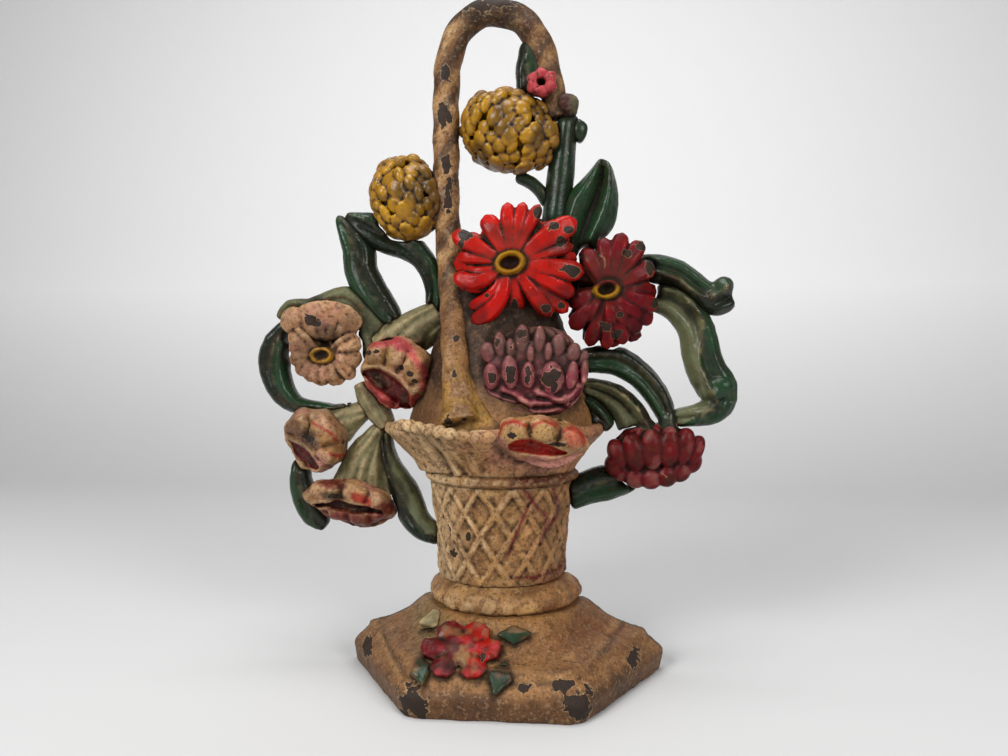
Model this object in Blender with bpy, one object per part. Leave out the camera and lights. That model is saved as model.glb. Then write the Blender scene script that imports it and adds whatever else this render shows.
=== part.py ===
"""A cast iron doorstop: a lattice flower basket with a rope handle on a hexagonal foot.

The casting has a flat back, hollow behind the foot, the basket and the bouquet, and every
form stands forward from that back. Sizes are in millimetres and are turned into metres when
a mesh is made. Across is x, to the right as seen from the front. Depth runs from the flat
back towards the viewer. Height is z, from the surface that the foot stands on. Everything
in the bouquet is placed by its height over the basket's rim.
"""

import math

import bmesh
import bpy
from mathutils import Matrix, Vector

MM = 0.001

# Clearance between neighbouring forms, and the iron's wall
GAP = 0.3
WALL = 4.2

# Foot
FOOT_HALF_WIDTH = 61.3
FOOT_DEPTH = 51.5
FOOT_FRONT_HALF = 29.0
FOOT_CORNER_SHARPNESS = 30
EDGE_HEIGHT = 8.5
EDGE_DRAFT = 1.3
BORDER_WIDTH = 5.0
BORDER_RISE = 4.3
STEP_RISE = 2.0
STEP_RUN = 1.0
HILL_TOP = 26.3
HILL_TOP_RADIUS = 31.0
HILL_OPENING = 20.0

# Pedestal ring under the basket
RING_HEIGHT = 8.6
RING_RADIUS = 28.6
RING_KNOBS = 22
RING_KNOB_RISE = 0.7

# Basket
BASKET_X = -1.5
BODY_HEIGHT = 35.6
BODY_FOOT_RADIUS = 23.8
BODY_TOP_RADIUS = 27.0
LATTICE_CELLS = 7
LATTICE_ROWS = 2
LATTICE_RISE = 1.0
BAND_HEIGHT = 3.6
BAND_RADIUS = 29.0
BAND_STRANDS = 18
FLARE_HEIGHT = 17.2
RIM_RADIUS = 39.0
RIM_TIP_REACH = 6.0
RIM_LIP = 2.6
FLARE_RIBS = 10
FLARE_RIB_RISE = 0.9

# Mound of leaf mould that fills the basket and carries the blooms
MOUND_HEIGHT = 66.0
MOUND_RADIUS = 35.6
MOUND_TOP_RADIUS = 14.0

# Rope handle
HANDLE_HEIGHT = 161.4
HANDLE_WIDTH = 9.8
HANDLE_THICKNESS = 9.6
HANDLE_STRANDS = 3
HANDLE_PITCH = 42.0
HANDLE_STRAND_RISE = 0.65
HANDLE_SIDES = 9
HANDLE_STEPS = 3
HANDLE_FOOT_WIDTH = 14.0

# What hangs on the handle, below its top
ROSE_DROP = 35.4
BUD_DROP = 42.0
BUD_LEAF_DROP = 50.4
UPPER_MUM_DROP = 51.2
STEM_TOP_DROP = 44.4
STEM_FOOT_HEIGHT = 70.0

# Greenery
LEAF_EDGE = 4.2
LEAF_THICKNESS = 7.5
STEM_THICKNESS = 8.5
THROAT_THICKNESS = 11.0

# Reach of the outermost leaves from the foot's middle, which centres the part
LEFT_REACH = 96.9
RIGHT_REACH = 86.5

# Heights worked out from the sizes above
RING_BOTTOM = HILL_TOP + GAP
BODY_BOTTOM = RING_BOTTOM + RING_HEIGHT + GAP
BAND_BOTTOM = BODY_BOTTOM + BODY_HEIGHT + GAP
FLARE_BOTTOM = BAND_BOTTOM + BAND_HEIGHT + GAP
RIM_TOP = FLARE_BOTTOM + FLARE_HEIGHT

# Cross-sections of leaves and stems: across from -1 to 1, and the share of the thickness
LEAF_SECTION = ((-1.0, None), (-0.55, 1.0), (0.0, 0.66), (0.55, 1.0), (1.0, None))
STEM_SECTION = ((-1.0, 0.45), (-0.6, 0.86), (0.0, 1.0), (0.6, 0.86), (1.0, 0.45))

# Where a zinnia's rings stand and how high its eye, ring, petals and petal ends rise
ZINNIA_RINGS = (0.13, 0.22, 0.32, 0.55, 0.82, 1.0)
ZINNIA_RISE = (0.70, 1.16, 0.80, 1.0, 0.86, 0.36)

# Slivers narrower than this are merged after a cut, the widest that leaves the piece closed
CLEAN_TOLERANCES = (0.06, 0.03, 0.01, 0.002)
FLATNESS = math.radians(2.0)
SHARP_FROM = math.radians(48)

# Boolean solvers in the order they are tried, and whether each takes forms that cross themselves
SOLVERS = (("EXACT", True), ("EXACT", False), ("MANIFOLD", False))

# Paint and bare iron: colour, roughness and metallic value
IVORY = ((0.47, 0.34, 0.21), 0.62, 0.0)
UMBER = ((0.30, 0.19, 0.12), 0.66, 0.0)
GREEN = ((0.03, 0.13, 0.07), 0.40, 0.0)
SAGE = ((0.23, 0.27, 0.16), 0.55, 0.0)
OCHRE = ((0.60, 0.36, 0.05), 0.45, 0.0)
SCARLET = ((0.62, 0.04, 0.02), 0.35, 0.0)
CRIMSON = ((0.26, 0.02, 0.04), 0.40, 0.0)
PLUM = ((0.18, 0.05, 0.10), 0.45, 0.0)
ROSE = ((0.55, 0.12, 0.14), 0.45, 0.0)
SAND = ((0.42, 0.27, 0.19), 0.60, 0.0)


def smooth_run(points, steps):
    """Run a smooth curve through tuples of numbers, with a number of steps in each span."""
    run = []
    for i in range(len(points) - 1):
        p1, p2 = points[i], points[i + 1]
        p0 = points[i - 1] if i > 0 else tuple(2 * a - b for a, b in zip(p1, p2))
        p3 = points[i + 2] if i + 2 < len(points) else tuple(2 * b - a for a, b in zip(p1, p2))
        for k in range(steps):
            t = k / steps
            run.append(tuple(
                0.5 * (2 * b + (c - a) * t + (2 * a - 5 * b + 4 * c - d) * t * t
                       + (3 * b - a - 3 * c + d) * t * t * t)
                for a, b, c, d in zip(p0, p1, p2, p3)
            ))
    run.append(points[-1])
    return run


def skin(verts, corners, crest_x):
    """Face between four points, split so that it stands out most from the upright line at crest_x."""
    if crest_x is None:
        return [corners]
    a, b, c, d = corners
    far = []
    for one, two in ((a, c), (b, d)):
        x = (verts[one][0] + verts[two][0]) / 2 - crest_x
        far.append(math.hypot(x, (verts[one][1] + verts[two][1]) / 2))
    return [(a, b, c), (a, c, d)] if far[0] > far[1] else [(b, c, d), (b, d, a)]


def loft(rings, crest_x=None):
    """Skin closed rings of points in order and put a face over each end."""
    count = len(rings[0])
    verts = [point for ring in rings for point in ring]
    faces = []
    for i in range(len(rings) - 1):
        for j in range(count):
            a = i * count + j
            b = i * count + (j + 1) % count
            faces += skin(verts, (a, b, b + count, a + count), crest_x)
    last = (len(rings) - 1) * count
    faces.append(tuple(reversed(range(count))))
    faces.append(tuple(range(last, last + count)))
    return verts, faces


def filled(rings, back_y, crest_x=None):
    """Close open rings that stand round the front of a solid, carried on to its back."""
    first = [(x, back_y, z) for x, _y, z in rings[0]]
    last = [(x, back_y, z) for x, _y, z in rings[-1]]
    rings = [first] + rings + [last]
    count = len(first)
    verts = [point for ring in rings for point in ring]
    faces = []
    for i in range(len(rings) - 1):
        for j in range(count - 1):
            a = i * count + j
            faces += skin(verts, (a, a + 1, a + 1 + count, a + count), crest_x)
    end = (len(rings) - 1) * count
    faces.append(tuple(i * count for i in range(len(rings))))
    faces.append(tuple(i * count + count - 1 for i in reversed(range(len(rings)))))
    faces.append(tuple(reversed(range(count))) + tuple(range(end, end + count)))
    return verts, faces


def ribbon(path, section, thickness, back=0.0, steps=2, grow=0.0):
    """Sweep a leaf or stem along its path: across, height over the rim, half width, share of thickness."""
    run = smooth_run(path, steps)
    rings = []
    for i, (x, z, half, share) in enumerate(run):
        before, after = run[max(i - 1, 0)], run[min(i + 1, len(run) - 1)]
        along = Vector((after[0] - before[0], 0.0, after[1] - before[1])).normalized()
        side = Vector((-along.z, 0.0, along.x))
        end = -grow if i == 0 else grow if i == len(run) - 1 else 0.0
        middle = Vector((x, 0.0, RIM_TOP + z)) + along * end
        wide = half + grow
        front = back + thickness * share + grow
        edge = back + min(LEAF_EDGE, thickness * share * 0.8) + grow
        ring = [middle - side * wide + Vector((0, grow - back, 0))]
        for across, rise in section:
            depth = edge if rise is None else back + (front - back) * rise
            ring.append(middle + side * wide * across - Vector((0, depth, 0)))
        ring.append(middle + side * wide + Vector((0, grow - back, 0)))
        rings.append([tuple(p) for p in ring])
    return loft(rings)


def bloom(centre, lift, radii, height, outline, spokes, rings=4, back=0.0, nod=0.0, turn=0.0,
          roll=0.0, tuck=0.6, sunk=None, over_rim=True, grow=0.0):
    """Make a flower head: a relief over its own tilted plane, with its wall run back into the casting.

    Rings is a number of even rings, or the share of the radius that each ring stands at. Tuck
    draws the wall in behind the head. A sunk head's wall runs back square to the head instead.
    """
    x, z = centre
    spin = Matrix.Rotation(math.radians(turn), 3, "Z") @ Matrix.Rotation(math.radians(-nod), 3, "X")
    right = spin @ Vector((math.cos(math.radians(roll)), 0, math.sin(math.radians(roll))))
    up = spin @ Vector((-math.sin(math.radians(roll)), 0, math.cos(math.radians(roll))))
    out = spin @ Vector((0, -1, 0))
    origin = Vector((x, -lift, z + (RIM_TOP if over_rim else 0.0)))
    wide, tall = radii[0] + grow, radii[1] + grow

    def place(rho, angle, rise):
        spread = 1.0 + (outline(angle) - 1.0) * rho * rho
        a = wide * rho * spread * math.cos(angle)
        b = tall * rho * spread * math.sin(angle)
        return origin + right * a + up * b + out * rise

    angles = [2 * math.pi * k / spokes for k in range(spokes)]
    shares = [(i + 1) / rings for i in range(rings)] if isinstance(rings, int) else rings
    rows = [[place(rho, a, height(rho, a) + grow) for a in angles] for rho in shares]
    waist = None
    if sunk is None:
        floor = -(back - grow)
        if tuck > 1.5:
            waist = [Vector((p.x, p.y * 0.45 + floor * 0.55, p.z)) for p in rows[-1]]
        hem = []
        for p in rows[-1]:
            inward = Vector((origin.x - p.x, 0, origin.z - p.z)).normalized() * tuck
            hem.append(Vector((p.x, floor, p.z)) + inward)
        base = Vector((origin.x, floor, origin.z))
    else:
        hem = [p - out * (sunk + grow) for p in rows[-1]]
        base = origin - out * (sunk + grow)
    rows += [waist, hem] if waist else [hem]
    verts = [place(0.0, 0.0, height(0.0, 0.0) + grow)] + [p for ring in rows for p in ring] + [base]
    faces = [(0, 1 + k, 1 + (k + 1) % spokes) for k in range(spokes)]
    for i in range(len(rows) - 1):
        for k in range(spokes):
            a = 1 + i * spokes + k
            b = 1 + i * spokes + (k + 1) % spokes
            faces.append((a, a + spokes, b + spokes, b))
    first = 1 + (len(rows) - 1) * spokes
    faces += [(first + (k + 1) % spokes, first + k, len(verts) - 1) for k in range(spokes)]
    return [tuple(p) for p in verts], faces


def half_turned(outer, inner, stations, middle_x=0.0, reach=None, relief=None, grow=0.0):
    """Sweep a profile of radius, height and relief share round the front half of a circle.

    The outer line runs upwards. The inner one runs down inside it, and is left out of a grown
    form, which is solid.
    """
    rings = []
    for k in range(stations + 1):
        angle = math.pi * k / stations
        ring = []
        for radius, z, share in outer if grow else outer + inner:
            r = radius * (reach(angle) if reach else 1.0)
            if relief and share:
                r += share * relief(angle, z)
            ring.append((middle_x + r * math.cos(angle), -r * math.sin(angle), z))
        rings.append(ring)
    crest_x = middle_x if relief else None
    return filled(rings, grow, crest_x) if grow else loft(rings, crest_x)


def foot_radius(angle, inset):
    """Distance from the foot's middle to its three-sided outline, drawn in by an inset."""
    run = FOOT_HALF_WIDTH - FOOT_FRONT_HALF
    length = math.hypot(run, FOOT_DEPTH)
    side = math.atan2(run, FOOT_DEPTH)
    side_distance = FOOT_HALF_WIDTH * FOOT_DEPTH / length
    total = 0.0
    for normal, distance in (
        (math.pi / 2, FOOT_DEPTH), (-math.pi / 2, FOOT_DEPTH),
        (side, side_distance), (math.pi - side, side_distance),
        (-side, side_distance), (math.pi + side, side_distance),
    ):
        share = max(0.0, math.cos(angle - normal)) / (distance - inset)
        total += share ** FOOT_CORNER_SHARPNESS
    return total ** (-1.0 / FOOT_CORNER_SHARPNESS)


def foot_stations(per_side):
    """Angles round the foot's front, closer together at its corners."""
    corner = math.atan2(FOOT_DEPTH, FOOT_FRONT_HALF)
    marks = [0.0, corner, math.pi - corner, math.pi]
    angles = []
    for start, end in zip(marks, marks[1:]):
        for k in range(per_side):
            t = k / per_side
            angles.append(start + (end - start) * (t - 0.72 * math.sin(2 * math.pi * t) / (2 * math.pi)))
    angles.append(math.pi)
    return angles


def foot_profile():
    """The foot's outer surface: inset from the outline, height, and how far it has turned round."""
    border_top = EDGE_HEIGHT + BORDER_RISE
    step_top = border_top + STEP_RISE
    step_inset = BORDER_WIDTH + STEP_RUN
    hill = HILL_TOP - step_top
    room = FOOT_DEPTH - step_inset - HILL_TOP_RADIUS
    return [
        (EDGE_DRAFT, 0.0, 0.0),
        (0.0, EDGE_HEIGHT * 0.76, 0.0),
        (0.9, EDGE_HEIGHT, 0.0),
        (BORDER_WIDTH, border_top, 0.0),
        (step_inset, step_top, 0.0),
        (step_inset + room * 0.36, step_top + hill * 0.15, 0.0),
        (step_inset + room * 0.60, step_top + hill * 0.33, 0.15),
        (step_inset + room * 0.82, step_top + hill * 0.56, 0.4),
        (step_inset + room * 0.96, step_top + hill * 0.88, 0.8),
        (step_inset + room * 1.05, HILL_TOP, 1.0),
    ]


def foot_reach(angle, inset, roundness):
    """Distance from the foot's middle to its surface, between the outline's shape and a circle."""
    square = foot_radius(angle, inset)
    return square + (FOOT_DEPTH - inset - square) * roundness


def foot_depth(x, z):
    """Depth of the foot's surface at a place across and a height."""
    profile = foot_profile()
    depth = FOOT_DEPTH
    for (inset, low, turn), (next_inset, high, next_turn) in zip(profile, profile[1:]):
        if low <= z <= high:
            t = (z - low) / (high - low)
            here = inset + (next_inset - inset) * t
            roundness = turn + (next_turn - turn) * t
            for _attempt in range(20):
                reach = foot_reach(math.atan2(depth, x), here, roundness)
                depth = math.sqrt(max(reach * reach - x * x, 1.0))
            break
    return depth


def foot(grow=0.0):
    """Foot: upright edge, sloping border, small step and hollow-sided hill, open below and behind."""
    inner = [
        (FOOT_DEPTH - HILL_TOP_RADIUS + WALL * 0.8, HILL_TOP - WALL, 1.0),
        (FOOT_DEPTH - HILL_TOP_RADIUS - 4.0, HILL_TOP - WALL * 2.1, 0.2),
        (BORDER_WIDTH + WALL, EDGE_HEIGHT + BORDER_RISE - WALL, 0.0),
        (WALL + EDGE_DRAFT, 0.0, 0.0),
    ]
    rings = []
    for angle in foot_stations(8):
        c, s = math.cos(angle), math.sin(angle)
        ring = []
        for inset, z, roundness in foot_profile():
            reach = foot_reach(angle, inset - grow, roundness)
            ring.append((reach * c, -reach * s, z + (grow if z else 0.0)))
        if not grow:
            ring.append((HILL_OPENING * c, -HILL_OPENING * s, HILL_TOP))
            for inset, z, roundness in inner:
                reach = foot_reach(angle, inset, roundness)
                ring.append((reach * c, -reach * s, z))
        rings.append(ring)
    return filled(rings, grow) if grow else loft(rings)


def pedestal_ring(grow=0.0):
    """Knobbly ring that the basket stands on."""
    z = RING_BOTTOM
    r = RING_RADIUS
    outer = [
        (r - 1.4, z, 0.3), (r, z + RING_HEIGHT * 0.16, 1.0), (r + 0.2, z + RING_HEIGHT * 0.4, 1.0),
        (r - 1.2, z + RING_HEIGHT * 0.68, 1.0), (r - 3.4, z + RING_HEIGHT * 0.9, 0.4),
        (r - 4.4, z + RING_HEIGHT, 0.0),
    ]
    inner = [(r - 4.4 - WALL, z + RING_HEIGHT, 0.0), (r - 2.4 - WALL, z, 0.0)]

    def knobs(angle, _z):
        return RING_KNOB_RISE * (abs(math.cos(angle * RING_KNOBS / 2)) - 0.5)

    return half_turned(outer, inner, RING_KNOBS * 2, relief=knobs, grow=grow)


def body_radius(z):
    """Radius of the basket's lattice body at a height, waisted just above its foot."""
    t = min(max((z - BODY_BOTTOM) / BODY_HEIGHT, 0.0), 1.0)
    return BODY_FOOT_RADIUS + (BODY_TOP_RADIUS - BODY_FOOT_RADIUS) * t * t


def basket_body(grow=0.0):
    """Lattice body: a half-round shell with raised laths that cross in diamonds."""
    steps = 5
    rows = LATTICE_ROWS * steps
    outer = []
    for i in range(rows + 1):
        z = BODY_BOTTOM + BODY_HEIGHT * i / rows
        outer.append((body_radius(z) + grow, z, 1.0))
    inner = [
        (BODY_TOP_RADIUS - WALL, BODY_BOTTOM + BODY_HEIGHT, 0.0),
        (BODY_FOOT_RADIUS - WALL, BODY_BOTTOM, 0.0),
    ]

    def laths(angle, z):
        station = round(angle / math.pi * LATTICE_CELLS * steps)
        row = round((z - BODY_BOTTOM) / BODY_HEIGHT * rows)
        on_lath = (station + row) % steps == 0 or (station - row) % steps == 0
        return LATTICE_RISE if on_lath else 0.0

    return half_turned(outer, inner, LATTICE_CELLS * steps, BASKET_X, relief=laths, grow=grow)


def basket_band(grow=0.0):
    """Braid band between the body and the flare."""
    z, r = BAND_BOTTOM, BAND_RADIUS
    inside = BODY_TOP_RADIUS - WALL
    outer = [
        (r - 1.6 + grow, z - grow, 0.3), (r + grow, z + BAND_HEIGHT * 0.35, 1.0),
        (r + grow, z + BAND_HEIGHT * 0.7, 1.0), (r - 1.4 + grow, z + BAND_HEIGHT + grow, 0.3),
    ]
    inner = [(inside, z + BAND_HEIGHT, 0.0), (inside, z, 0.0)]

    def strands(angle, z_here):
        return 0.6 * (abs(math.cos(angle * BAND_STRANDS / 2 + (z_here - z) * 0.8)) - 0.5)

    return half_turned(outer, inner, BAND_STRANDS * 2, BASKET_X, relief=strands, grow=grow)


def rim_reach(angle):
    """The rim's left end draws out into a tip."""
    return 1.0 + RIM_TIP_REACH / RIM_RADIUS * max(0.0, -math.cos(angle)) ** 4


def basket_rim(grow=0.0):
    """Flare of the basket with swept ribs, from the band out to the lip."""
    rows = 5
    low = BAND_RADIUS - 1.2
    outer = []
    for i in range(rows + 1):
        t = i / rows
        radius = low + (RIM_RADIUS - low) * t ** 1.35
        share = math.sin(math.pi * min(t * 1.15, 1.0))
        outer.append((radius + grow, FLARE_BOTTOM + (FLARE_HEIGHT - RIM_LIP) * t, share))
    outer.append((RIM_RADIUS - 0.6 + grow, RIM_TOP + grow, 0.0))
    inner = [
        (RIM_RADIUS - 0.6 - WALL, RIM_TOP, 0.0),
        (RIM_RADIUS - 2.4 - WALL, RIM_TOP - RIM_LIP - 1.5, 0.0),
        (low - WALL, FLARE_BOTTOM, 0.0),
    ]

    def ribs(angle, z):
        sweep = (z - FLARE_BOTTOM) / FLARE_HEIGHT
        return FLARE_RIB_RISE * math.cos(2 * math.pi * (FLARE_RIBS * angle / math.pi + sweep * 1.2))

    return half_turned(outer, inner, FLARE_RIBS * 4, BASKET_X, reach=rim_reach, relief=ribs, grow=grow)


def mound_radius(z):
    """Radius of the mound at a height over the rim."""
    t = min(max(z / MOUND_HEIGHT, 0.0), 1.0)
    return MOUND_RADIUS + (MOUND_TOP_RADIUS - MOUND_RADIUS) * t


def mound_depth(x, z):
    """Depth of the mound's surface at a place across and a height over the rim."""
    r = mound_radius(z)
    return math.sqrt(max(r * r - (x - BASKET_X) ** 2, 0.0))


def mound(grow=0.0):
    """Mound in the basket: a hollow half cone that the blooms and the handle's leg stand against."""
    bottom, top = RIM_TOP + GAP, RIM_TOP + MOUND_HEIGHT
    rows = 4
    outer = [(MOUND_RADIUS + grow, bottom - grow, 0.0)]
    for i in range(1, rows + 1):
        z = bottom + (top - bottom) * i / rows
        outer.append((mound_radius(z - RIM_TOP) + grow, z, 0.0))
    outer.append((MOUND_TOP_RADIUS * 0.6 + grow, top + 3.0 + grow, 0.0))
    inner = [
        (0.0, top + 3.0, 0.0), (0.0, top - WALL, 0.0),
        (MOUND_TOP_RADIUS - WALL * 0.8, top - WALL, 0.0), (MOUND_RADIUS - WALL, bottom, 0.0),
    ]
    return half_turned(outer, inner, 20, BASKET_X, grow=grow)


def handle_path():
    """Middle line of the handle: across, depth, height, and half width."""
    top = HANDLE_HEIGHT - HANDLE_WIDTH / 2
    half = HANDLE_WIDTH / 2
    deep = HANDLE_THICKNESS / 2

    leg = [(-12.4, 2.0, HANDLE_FOOT_WIDTH / 2), (-13.8, 9.0, half + 0.6), (-15.2, 19.0, half - 0.2),
           (-17.2, 34.0, half - 0.4), (-19.4, 48.0, half - 0.3), (-21.4, 66.0, half - 0.1)]
    path = [(x, max(deep, mound_depth(x, z) + deep * 0.45), z, w) for x, z, w in leg]
    path += [
        (-22.5, deep, 84.0, half), (-22.5, deep, top - 44.0, half), (-22.4, deep, top - 27.0, half),
        (-20.6, deep, top - 14.0, half), (-15.6, deep, top - 4.6, half), (-8.4, deep, top - 0.4, half),
        (-0.4, deep, top - 0.4, half), (7.2, deep, top - 4.2, half), (12.6, deep, top - 11.6, half),
        (16.2, deep, top - 21.6, half - 0.2), (18.6, deep, top - 34.0, half - 0.4),
        (19.6, deep, top - 41.0, half - 0.6),
    ]
    return path


def handle(grow=0.0):
    """Rope handle: one leg runs down the mound to the rim, the other ends behind the small rose."""
    run = smooth_run(handle_path(), HANDLE_STEPS)
    rings = []
    travelled = 0.0
    last = None
    for i, (x, depth, z, half) in enumerate(run):
        point = Vector((x, -depth, RIM_TOP + z))
        a, b = run[max(i - 1, 0)], run[min(i + 1, len(run) - 1)]
        along = Vector((b[0] - a[0], a[1] - b[1], b[2] - a[2])).normalized()
        side = along.cross(Vector((0, -1, 0))).normalized()
        out = side.cross(along).normalized()
        if last is not None:
            travelled += (point - last).length
        last = point
        point = point + along * (-grow if i == 0 else grow if i == len(run) - 1 else 0.0)
        ring = []
        for k in range(HANDLE_SIDES):
            angle = 2 * math.pi * k / HANDLE_SIDES
            twist = HANDLE_STRANDS * (angle - 2 * math.pi * travelled / HANDLE_PITCH)
            rise = HANDLE_STRAND_RISE * math.cos(twist) + grow
            p = point + side * (half + rise) * math.cos(angle)
            p = p + out * (HANDLE_THICKNESS / 2 + rise) * math.sin(angle)
            p.y = min(p.y, grow)
            ring.append(tuple(p))
        rings.append(ring)
    return loft(rings)


def petals(count, notch, dip):
    """Outline and groove depth of a head with a number of round-ended petals."""
    def outline(angle):
        across = abs(math.sin(count * angle / 2))
        return 1.0 - notch * across ** 6 + 0.03 * math.sin(5 * angle + count)

    def groove(rho, angle):
        across = abs(math.sin(count * angle / 2))
        reach = min(1.0, max(0.0, (rho - 0.25) / 0.2))
        return 1.0 - dip * reach * across ** 6

    return outline, groove


def zinnia(centre, lift, radii, height, count, **kwargs):
    """Zinnia: long round-ended petals about a raised ring with a hollow eye."""
    outline, groove = petals(count, 0.2, 0.6)
    rises = dict(zip(ZINNIA_RINGS, ZINNIA_RISE))

    def shape(rho, angle):
        return height * rises.get(rho, ZINNIA_RISE[0]) * groove(rho, angle)

    return bloom(centre, lift, radii, shape, outline, count * 4, rings=ZINNIA_RINGS, **kwargs)


def red_zinnia(grow=0.0):
    """Scarlet zinnia in front of the mound."""
    x, z = 4.6, 57.2
    lift = mound_depth(x, z) + 1.0
    return zinnia((x, z), lift, (24.4, 23.0), 9.0, 13, back=4.0, nod=12, roll=8, grow=grow)


def crimson_zinnia(grow=0.0):
    """Crimson zinnia to the right, partly under the scarlet one."""
    return zinnia((38.6, 48.2), 8.5, (19.8, 22.2), 9.6, 12, nod=6, turn=10, roll=3, grow=grow)


def upright_head(centre, radii, depth, profile, stations, relief, sides=3.0, back=0.0, roll=0.0,
                 grow=0.0):
    """Half-round head on an upright axis, with its flat side at the back of the casting.

    The profile gives shares of the height and of the radius, upwards. Depth is how far the head
    stands out from its sides, which run straight back for the length given by sides. Relief
    takes a station and a row and gives a rise.
    """
    x, z = centre
    c, s = math.cos(math.radians(roll)), math.sin(math.radians(roll))
    rings = []
    for k in range(stations + 1):
        angle = math.pi * k / stations
        ring = []
        for i, (height, radius) in enumerate(profile):
            end = i in (0, len(profile) - 1)
            rise = grow + (0.0 if end else relief(k, i))
            a = (radii[0] * radius + rise) * math.cos(angle)
            y = back + sides + (depth * radius + rise) * math.sin(angle)
            b = radii[1] * height + (grow * (1 if height > 0 else -1) if end else 0.0)
            ring.append((x + a * c - b * s, -y, RIM_TOP + z + a * s + b * c))
        rings.append(ring)
    return filled(rings, -(back - grow), x)


def ball_profile(rows, cap):
    """Shares of height and radius for a ball whose two ends are cut flat at a share of its radius."""
    steep = math.acos(cap)
    angles = [-steep + 2 * steep * i / rows for i in range(rows + 1)]
    return [(math.sin(a) / math.sin(steep), math.cos(a)) for a in angles]


def scales(rise):
    """Relief of overlapping scales whose tips stand out, each row set half a scale round."""
    def relief(station, row):
        if row % 2 == 0:
            return -rise * 0.35
        return rise * 0.65 if (station + row // 2) % 2 else -rise * 0.1

    return relief


def upper_mum(grow=0.0):
    """Yellow mum under the handle's arch."""
    return upright_head((1.8, HANDLE_HEIGHT - UPPER_MUM_DROP), (19.2, 14.8), 13.0, ball_profile(14, 0.34), 20, scales(1.5),
                        grow=grow)


def left_mum(grow=0.0):
    """Yellow mum outside the handle's left leg."""
    return upright_head((-37.8, 85.8), (13.2, 16.4), 11.5, ball_profile(14, 0.34), 16, scales(1.5),
                        roll=-6, grow=grow)


def purple_mum(grow=0.0):
    """Plum-coloured mum: tiers of upright petals over a spread skirt."""
    profile = [(-1.0, 0.5), (-0.8, 0.82), (-0.52, 1.0), (-0.26, 0.93), (0.0, 1.0), (0.28, 0.97),
               (0.46, 0.84), (0.66, 0.84), (0.86, 0.68), (1.0, 0.42)]

    def petal_tiers(station, row):
        stagger = 1 if row in (3, 4, 5) else 0
        if row in (3, 6):
            return -0.5
        return 0.8 if (station + stagger) % 2 else -0.8

    return upright_head((10.6, 20.6), (20.4, 17.6), 14.5, profile, 18, petal_tiers, sides=8.0,
                        back=12.0, grow=grow)


def trumpet(centre, lift, radii, height, lobes, mouth, **kwargs):
    """Trumpet flower: a ruffled lip round a mouth that sinks in, off its middle."""
    def outline(angle):
        return 1.0 - 0.10 * (1.0 - abs(math.cos(lobes * angle / 2)) ** 0.6)

    def shape(rho, angle):
        a = rho * math.cos(angle) - mouth[0]
        b = rho * math.sin(angle) - mouth[1]
        hollow = math.exp(-(a / mouth[2]) ** 2 - (b / mouth[3]) ** 2)
        ruffle = 0.12 * math.cos(lobes * angle) * rho * rho
        return height * (1.0 - 0.35 * rho ** 3 + ruffle - 0.75 * hollow)

    return bloom(centre, lift, radii, shape, outline, 24, rings=5, **kwargs)


def pink_trumpet(grow=0.0):
    """Large pink trumpet at the left of the handle's foot."""
    return trumpet((-39.6, 19.0), 9.0, (14.2, 14.4), 9.0, 5, (0.05, -0.25, 0.55, 0.24),
                   nod=-4, turn=-12, roll=-32, grow=grow)


def lower_left_trumpet(grow=0.0):
    """Trumpet that hangs out to the left, below the daisy."""
    return trumpet((-72.4, -6.8), 6.5, (13.6, 12.6), 8.0, 5, (0.0, -0.3, 0.5, 0.25),
                   nod=-6, turn=-16, roll=-44, grow=grow)


def lower_right_trumpet(grow=0.0):
    """Lowest trumpet, whose mouth looks down."""
    return trumpet((-57.6, -30.2), 7.0, (17.2, 9.4), 8.5, 5, (0.0, -0.35, 0.8, 0.2),
                   nod=-14, roll=-12, grow=grow)


def rim_trumpet(grow=0.0):
    """Trumpet that lolls over the basket's rim."""
    x = 15.0
    lift = math.sqrt(RIM_RADIUS ** 2 - (x - BASKET_X) ** 2) + 1.6
    return trumpet((x, -3.4), lift, (17.0, 9.6), 7.5, 5, (0.05, -0.3, 0.75, 0.22),
                   back=20.0, nod=-6, roll=-6, grow=grow)


def daisy(grow=0.0):
    """Tan daisy at the far left."""
    outline, groove = petals(11, 0.14, 0.4)
    rises = dict(zip((0.16, 0.3, 0.42, 0.75, 1.0), (0.75, 1.2, 0.9, 0.95, 0.4)))

    def shape(rho, angle):
        return 6.4 * rises.get(rho, 0.7) * groove(rho, angle)

    return bloom((-70.2, 29.6), 6.0, (16.6, 17.6), shape, outline, 44, rings=tuple(rises),
                 nod=-4, turn=-6, grow=grow)


def small_rose(grow=0.0):
    """Small pink rose on the handle."""
    outline, groove = petals(5, 0.2, 0.35)

    def shape(rho, angle):
        return 3.2 * (0.3 if rho == 0.0 else 1.25 if rho < 0.4 else groove(rho, angle))

    return bloom((14.4, HANDLE_HEIGHT - ROSE_DROP), 10.4, (6.6, 5.8), shape, outline, 20, rings=3, back=4.0, grow=grow)


def rose_bud(grow=0.0):
    """Rose bud in its calyx, right of the handle."""
    def outline(angle):
        return 1.0 - 0.06 * math.cos(3 * angle)

    def shape(rho, angle):
        return 6.0 * math.sqrt(max(0.0, 1.0 - 0.85 * rho * rho))

    return bloom((23.6, HANDLE_HEIGHT - BUD_DROP), 5.5, (4.6, 4.5), shape, outline, 16, rings=3, roll=-30, grow=grow)


def crimson_bud(grow=0.0):
    """Ribbed crimson bud at the right, with a lobed lower edge."""
    profile = [(-1.0, 0.66), (-0.72, 0.9), (-0.4, 0.93), (0.0, 1.0), (0.45, 0.92), (0.8, 0.74),
               (1.0, 0.5)]

    def ribs(station, row):
        return -1.1 if station % 2 == 0 else 0.6

    return upright_head((54.8, -10.8), (16.2, 11.2), 10.5, profile, 18, ribs, sides=4.0, roll=12,
                        grow=grow)


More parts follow.
